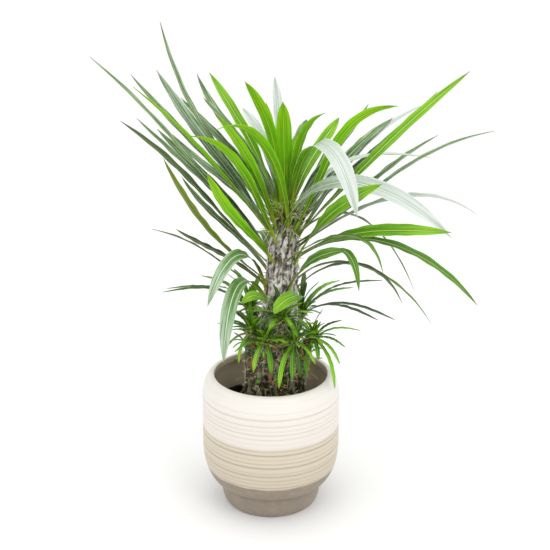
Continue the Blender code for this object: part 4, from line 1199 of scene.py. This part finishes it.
def make_tip(looks):
    """The growing tip: its core, its main leaves, the short stalks under it and the buds."""
    wall = [(between(TIP_CORE, height) * MM, height * MM) for height in np.linspace(0, 18, 19)]
    profile = [(0, 0), *wall, (0, 19.5 * MM)]
    core = lathe_shape(profile, 64, TIP_FOOT, {})
    rough = []
    for point in core.points:
        spot = Vector(point)
        out = Vector((spot.x - TIP_FOOT.x, spot.y - TIP_FOOT.y, 0))
        rough.append(spot + out * 0.09 * (noise.noise(spot * 420) - 0.5))
    shape = Shape()
    shape.take(rough, core.faces, 2)
    materials = [looks["upper", "fresh"], looks["under", "bright"], core_material()]
    materials += [looks["upper", "mid"], looks["under", "olive"]]

    def slot_of(look):
        if look not in materials:
            materials.append(look)
        return materials.index(look)

    for index, leaf in enumerate(TIP_LEAVES):
        end, turn = leaf_tip_and_turn(leaf)
        height = leaf.height * MM - TIP_FOOT.z
        radius = between(TIP_CORE, height / MM) * MM - 2.5 * MM
        base = TIP_FOOT + heading(turn, 0) * radius + Vector((0, 0, height))
        guides = leaf_guides(base, turn, end, leaf.rise, leaf.fall, leaf.reach)
        slots = (slot_of(looks["upper", leaf.upper]), slot_of(looks["under", leaf.under]))
        width, seed = leaf.width * MM, 200 + index
        leaf_shape(shape, guides, width, leaf.roll, LEAF_ROWS, slots, seed, blunt=TIP_BLUNTNESS)
    draw = random.Random(9)
    for index in range(CROWN_STALKS):
        turn = index * GOLDEN_ANGLE + 0.5
        height = draw.uniform(346, 371)
        base = trunk_centre(height * MM) + heading(turn, 0) * (between(TRUNK_RADII, height) - 1) * MM
        aim = heading(turn + draw.uniform(-0.2, 0.2), math.radians(draw.uniform(45, 75)))
        end = base + aim * draw.uniform(14, 34) * MM
        guides = leaf_guides(base, turn, end, draw.uniform(30, 50), draw.uniform(55, 80), 0.35)
        pair = draw.choice(((0, 1), (3, 4), (3, 1)))
        leaf_shape(shape, guides, draw.uniform(3, 4.4) * MM, 0, STALK_ROWS, pair, 400 + index, 1.0)
    for index in range(TIP_BUDS):
        turn = index * GOLDEN_ANGLE
        height = draw.uniform(6, 16)
        radius = between(TIP_CORE, height) * MM - 1.5 * MM
        base = TIP_FOOT + heading(turn, 0) * radius + Vector((0, 0, height * MM))
        length = draw.uniform(10, 34) * MM
        end = base + heading(turn, math.radians(draw.uniform(48, 78))) * length
        guides = leaf_guides(base, turn, end, draw.uniform(45, 70), draw.uniform(50, 85), 0.35)
        leaf_shape(shape, guides, draw.uniform(3.5, 5) * MM, 0, YOUNG_ROWS, (0, 1), 300 + index, 0.9)
    piece("growing_tip_fine", shape, materials, ["growing_tip"], 60)


# Offsets

def offset_centre(offset, height):
    head = Vector(offset.head) * MM
    part = max(0, height - BARE_TOP) / (head.z - BARE_TOP)
    return Vector((offset.foot[0] * MM, offset.foot[1] * MM, height)).lerp(head, part**1.5 if part < 1 else 1)


def offset_radius(offset, height):
    part = max(0, height - BARE_TOP) / (offset.head[2] * MM - BARE_TOP)
    low, high = offset.radii
    return (low + (high - low) * part) * MM


def on_skin(offset, turn, height, proud):
    """A spot on an offset's stem, a little over its skin or under it."""
    return offset_centre(offset, height) + heading(turn, 0) * (offset_radius(offset, height) + proud)


def small_guides(offset, turn, rise, length):
    """The guides of a leaf in an offset's tuft, by compass direction, rise and length."""
    centre = offset_centre(offset, offset.head[2] * MM)
    turn = math.radians(turn)
    root = centre + heading(turn, 0) * 2.5 * MM
    tip = root + heading(turn, math.radians(rise)) * length * 0.9 * MM
    return leaf_guides(root, turn, tip, rise + 32, rise - 22, 0.42)


def make_offset(offset, looks, skin, spines, seed):
    """An offset's stem, its tuft with the leaves down its side, and its spines."""
    draw = random.Random(seed)
    head = offset.head[2] * MM
    heights = levels([OFFSET_BOTTOM, 104 * MM, BARE_TOP], head, OFFSET_STEP)
    spots = [(index * GOLDEN_ANGLE, BARE_TOP + 5 * MM + index * OFFSET_CUSHION_STEP) for index in range(40)]
    points, faces, marks = stem_shape(
        lambda h: offset_centre(offset, h), lambda h: offset_radius(offset, h), heights, OFFSET_SIDES, spots,
        OFFSET_CUSHION_RISE, head, seed * 7.0,
    )
    # A low dome takes the place of the flat top
    faces.pop()
    top_row = len(points) - OFFSET_SIDES
    for part in (1 / 3, 2 / 3, 1):
        centre = offset_centre(offset, head) + Vector((0, 0, OFFSET_DOME * math.sin(0.5 * math.pi * part)))
        size = offset_radius(offset, head) * (1 - 0.55 * part**2)
        points += [centre + size * heading(TURN * k / OFFSET_SIDES, 0) for k in range(OFFSET_SIDES)]
        marks["swell"] += [0.6] * OFFSET_SIDES
        marks["scar"] += [0.0] * OFFSET_SIDES
    faces += grid_faces(4, OFFSET_SIDES, top_row)
    faces.append(tuple(range(len(points) - OFFSET_SIDES, len(points))))
    stem = Shape()
    stem.take(points, faces, 0, marks=marks)
    piece(f"{offset.name}_stem", stem, [skin], [offset.name], 80)
    corners = corners_of(offset.name)
    leaves = Shape()
    tones = [("upper", "tuft"), ("under", "bright"), ("upper", "tuft_bright"), ("under", "mid")]
    tones.append(("upper", "tuft_dark"))

    def grow(guides, uppers, unders, widths, rows, number):
        pair = (draw.choice(uppers), draw.choice(unders))
        leaf_shape(leaves, guides, draw.uniform(*widths) * MM, 0, rows, pair, number, 0.7)

    for index, (turn, rise, length, width) in enumerate(offset.leaves):
        guides = small_guides(offset, turn, rise, length)
        # The solid was built without the leaves that would have cut a neighbour
        if corners.find(guides[3])[2] > 1.5 * MM:
            continue
        pair = (draw.choice((0, 2, 2, 4)) if length < 100 else 4, draw.choice((1, 1, 3)))
        leaf_shape(leaves, guides, width * SLIM * MM, 0, SMALL_LEAF_ROWS, pair, seed * 40 + index)
    for index in range(YOUNG_LEAVES):
        turn = math.degrees(index * GOLDEN_ANGLE) + seed * 31
        guides = small_guides(offset, turn, draw.uniform(-15, 80), draw.uniform(12, 30))
        grow(guides, (0, 2, 4), (1, 3), (2.8, 4.8), YOUNG_ROWS, seed * 40 + 20 + index)
    for index in range(MIDDLE_LEAVES):
        guides = small_guides(offset, draw.uniform(0, 360), draw.uniform(0, 80), draw.uniform(26, 52))
        grow(guides, (0, 2, 4, 4), (1, 3, 3), (3.6, 5.6), MIDDLE_ROWS, seed * 70 + index)
    side_from = max(150 * MM, head - 70 * MM)
    for index in range(SIDE_LEAVES):
        height = side_from + (head - 4 * MM - side_from) * index / SIDE_LEAVES
        turn = index * GOLDEN_ANGLE + seed
        root = on_skin(offset, turn, height, -1 * MM)
        rise = draw.uniform(-10, 55)
        end = root + heading(turn, math.radians(rise)) * draw.uniform(12, 28) * MM
        guides = leaf_guides(root, turn, end, rise + 25, rise - 30, 0.4)
        grow(guides, (0, 2, 4), (1, 3), (2.8, 4.6), YOUNG_ROWS, seed * 90 + index)
    piece(f"{offset.name}_leaves", leaves, [looks[tone] for tone in tones], (), 60)
    thorns = Shape()
    for index in range(int((head - BARE_TOP - 2 * MM) / THORN_STEP)):
        turn, height = index * GOLDEN_ANGLE, BARE_TOP + 3 * MM + index * THORN_STEP
        for angle in OFFSET_SPINES.angles:
            side = turn + math.radians(angle + draw.uniform(-SPREAD, SPREAD))
            aim = heading(side, math.radians(draw.uniform(*OFFSET_SPINES.slope)))
            root = on_skin(offset, turn, height, 0.6 * MM)
            bend = any_way(draw, OFFSET_SPINES.curl)
            length = draw.uniform(*OFFSET_SPINES.length) * MM
            radius = draw.uniform(*OFFSET_SPINES.radius) * MM
            curved_spine(thorns, root, aim, length, radius, bend, 4)
    piece(f"{offset.name}_spines", thorns, [spines], ())


def make_clump_litter(looks):
    """Dry roots and scraps caught among the offsets, and one leaf that has dropped on the soil."""
    draw = random.Random(17)
    threads = Shape()
    for index in range(HANGING_ROOTS):
        height = draw.uniform(118, 225) * MM
        turn = math.radians(draw.uniform(-175, -5))
        spot = on_skin(OFFSETS[index % len(OFFSETS)], turn, height, -0.5 * MM)
        aim = heading(turn + draw.uniform(-1.2, 1.2), math.radians(draw.uniform(-60, 20)))
        line = [spot]
        for _ in range(draw.randint(6, 12)):
            spot = spot + aim * 2.4 * MM
            spot.z = max(spot.z, soil_height(spot.x, spot.y) + 0.5 * MM)
            line.append(spot)
            aim = (aim + any_way(draw, 0.55) + Vector((0, 0, -0.12))).normalized()
        thread(threads, line, draw.uniform(0.22, 0.42) * MM, 0.5)
    root_look = bit_material("dry_roots", (232, 206, 156), (160, 122, 80), 60)
    piece("clump_roots", threads, [root_look], ())
    scraps = Shape()
    for index in range(DRY_SCRAPS):
        height = draw.uniform(150, 215) * MM
        turn = math.radians(draw.uniform(-170, -10))
        root = on_skin(OFFSETS[index % 5], turn, height, -1 * MM)
        aim = heading(turn + draw.uniform(-0.8, 0.8), draw.uniform(-1.2, 0.6))
        end = root + aim * draw.uniform(10, 22) * MM
        guides = leaf_guides(root, turn, end, draw.uniform(-20, 30), draw.uniform(-80, -30), 0.5)
        width, roll = draw.uniform(2.5, 5) * MM, draw.uniform(-50, 50)
        leaf_shape(scraps, guides, width, roll, YOUNG_ROWS, (0, 0), 700 + index, 0.6)
    scrap_look = bit_material("dry_scraps", (150, 112, 74), (98, 70, 46), 90)
    piece("clump_scraps", scraps, [scrap_look], ())
    fallen = Shape()
    first, last = Vector(FALLEN_LEAF[0]) * MM, Vector(FALLEN_LEAF[1]) * MM
    guides = (first, first.lerp(last, 0.35) + Vector((0, 0, 2 * MM)), first.lerp(last, 0.7), last)
    leaf_shape(fallen, guides, 8 * MM, 14, SMALL_LEAF_ROWS, (0, 1), 911)
    piece("fallen_leaf", fallen, [looks["upper", "mid"], looks["under", "mid"]], (), 60)


def make_studio():
    """Pale floor, soft light from above and the front, and the photograph's camera."""
    scene = bpy.context.scene
    mesh = bpy.data.meshes.new("studio_floor")
    corners = [(x * FLOOR_HALF, y * FLOOR_HALF, 0) for x, y in ((-1, -1), (1, -1), (1, 1), (-1, 1))]
    mesh.from_pydata(corners, [], [(0, 1, 2, 3)])
    floor = bpy.data.objects.new("studio_floor", mesh)
    scene.collection.objects.link(floor)
    material = bpy.data.materials.new("floor_white")
    material.use_nodes = True
    shader = material.node_tree.nodes["Principled BSDF"]
    shader.inputs["Base Color"].default_value = (0.92, 0.92, 0.92, 1)
    shader.inputs["Roughness"].default_value = 0.8
    mesh.materials.append(material)
    world = bpy.data.worlds.new("studio")
    world.use_nodes = True
    world.node_tree.nodes["Background"].inputs["Color"].default_value = (1, 1, 1, 1)
    world.node_tree.nodes["Background"].inputs["Strength"].default_value = WORLD_LIGHT
    scene.world = world
    for name, spot, size, power, target in LAMPS:
        light = bpy.data.lights.new(name, "AREA")
        light.size, light.energy = size, power
        lamp = bpy.data.objects.new(name, light)
        scene.collection.objects.link(lamp)
        lamp.location = spot
        lamp.rotation_euler = (Vector(target) - Vector(spot)).to_track_quat("-Z", "Y").to_euler()
    camera = bpy.data.objects.new("camera", bpy.data.cameras.new("camera"))
    scene.collection.objects.link(camera)
    camera.location = CAMERA_SPOT
    camera.rotation_euler = (math.radians(90 - CAMERA_PITCH), 0, 0)
    camera.data.lens = LENS
    camera.data.sensor_width = 36
    camera.data.clip_start = 0.05
    scene.camera = camera
    scene.view_settings.view_transform = "Standard"


def main():
    looks = {
        (face, name): leaf_material(f"leaf_{face}_{name}", tone, face == "upper")
        for face, tones in (("upper", UPPER_TONES), ("under", UNDER_TONES)) for name, tone in tones.items()
    }
    make_studio()
    make_pot()
    plastic = plastic_material()
    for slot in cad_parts["nursery_pot"].material_slots:
        slot.material = plastic
    make_soil()
    make_litter()
    make_trunk()
    make_trunk_leaves(looks)
    make_tip(looks)
    # The offset skin's pale crest is partly painted highlight
    skin = bark_material("offset_skin", (150, 152, 126), (60, 66, 42), (16, 17, 12), (40, 58, 22), 0.6)
    spines = spine_material("spines_fine", (244, 234, 204), (190, 160, 112), (130, 100, 60))
    for seed, offset in enumerate(OFFSETS, 1):
        make_offset(offset, looks, skin, spines, seed)
    make_clump_litter(looks)


main()
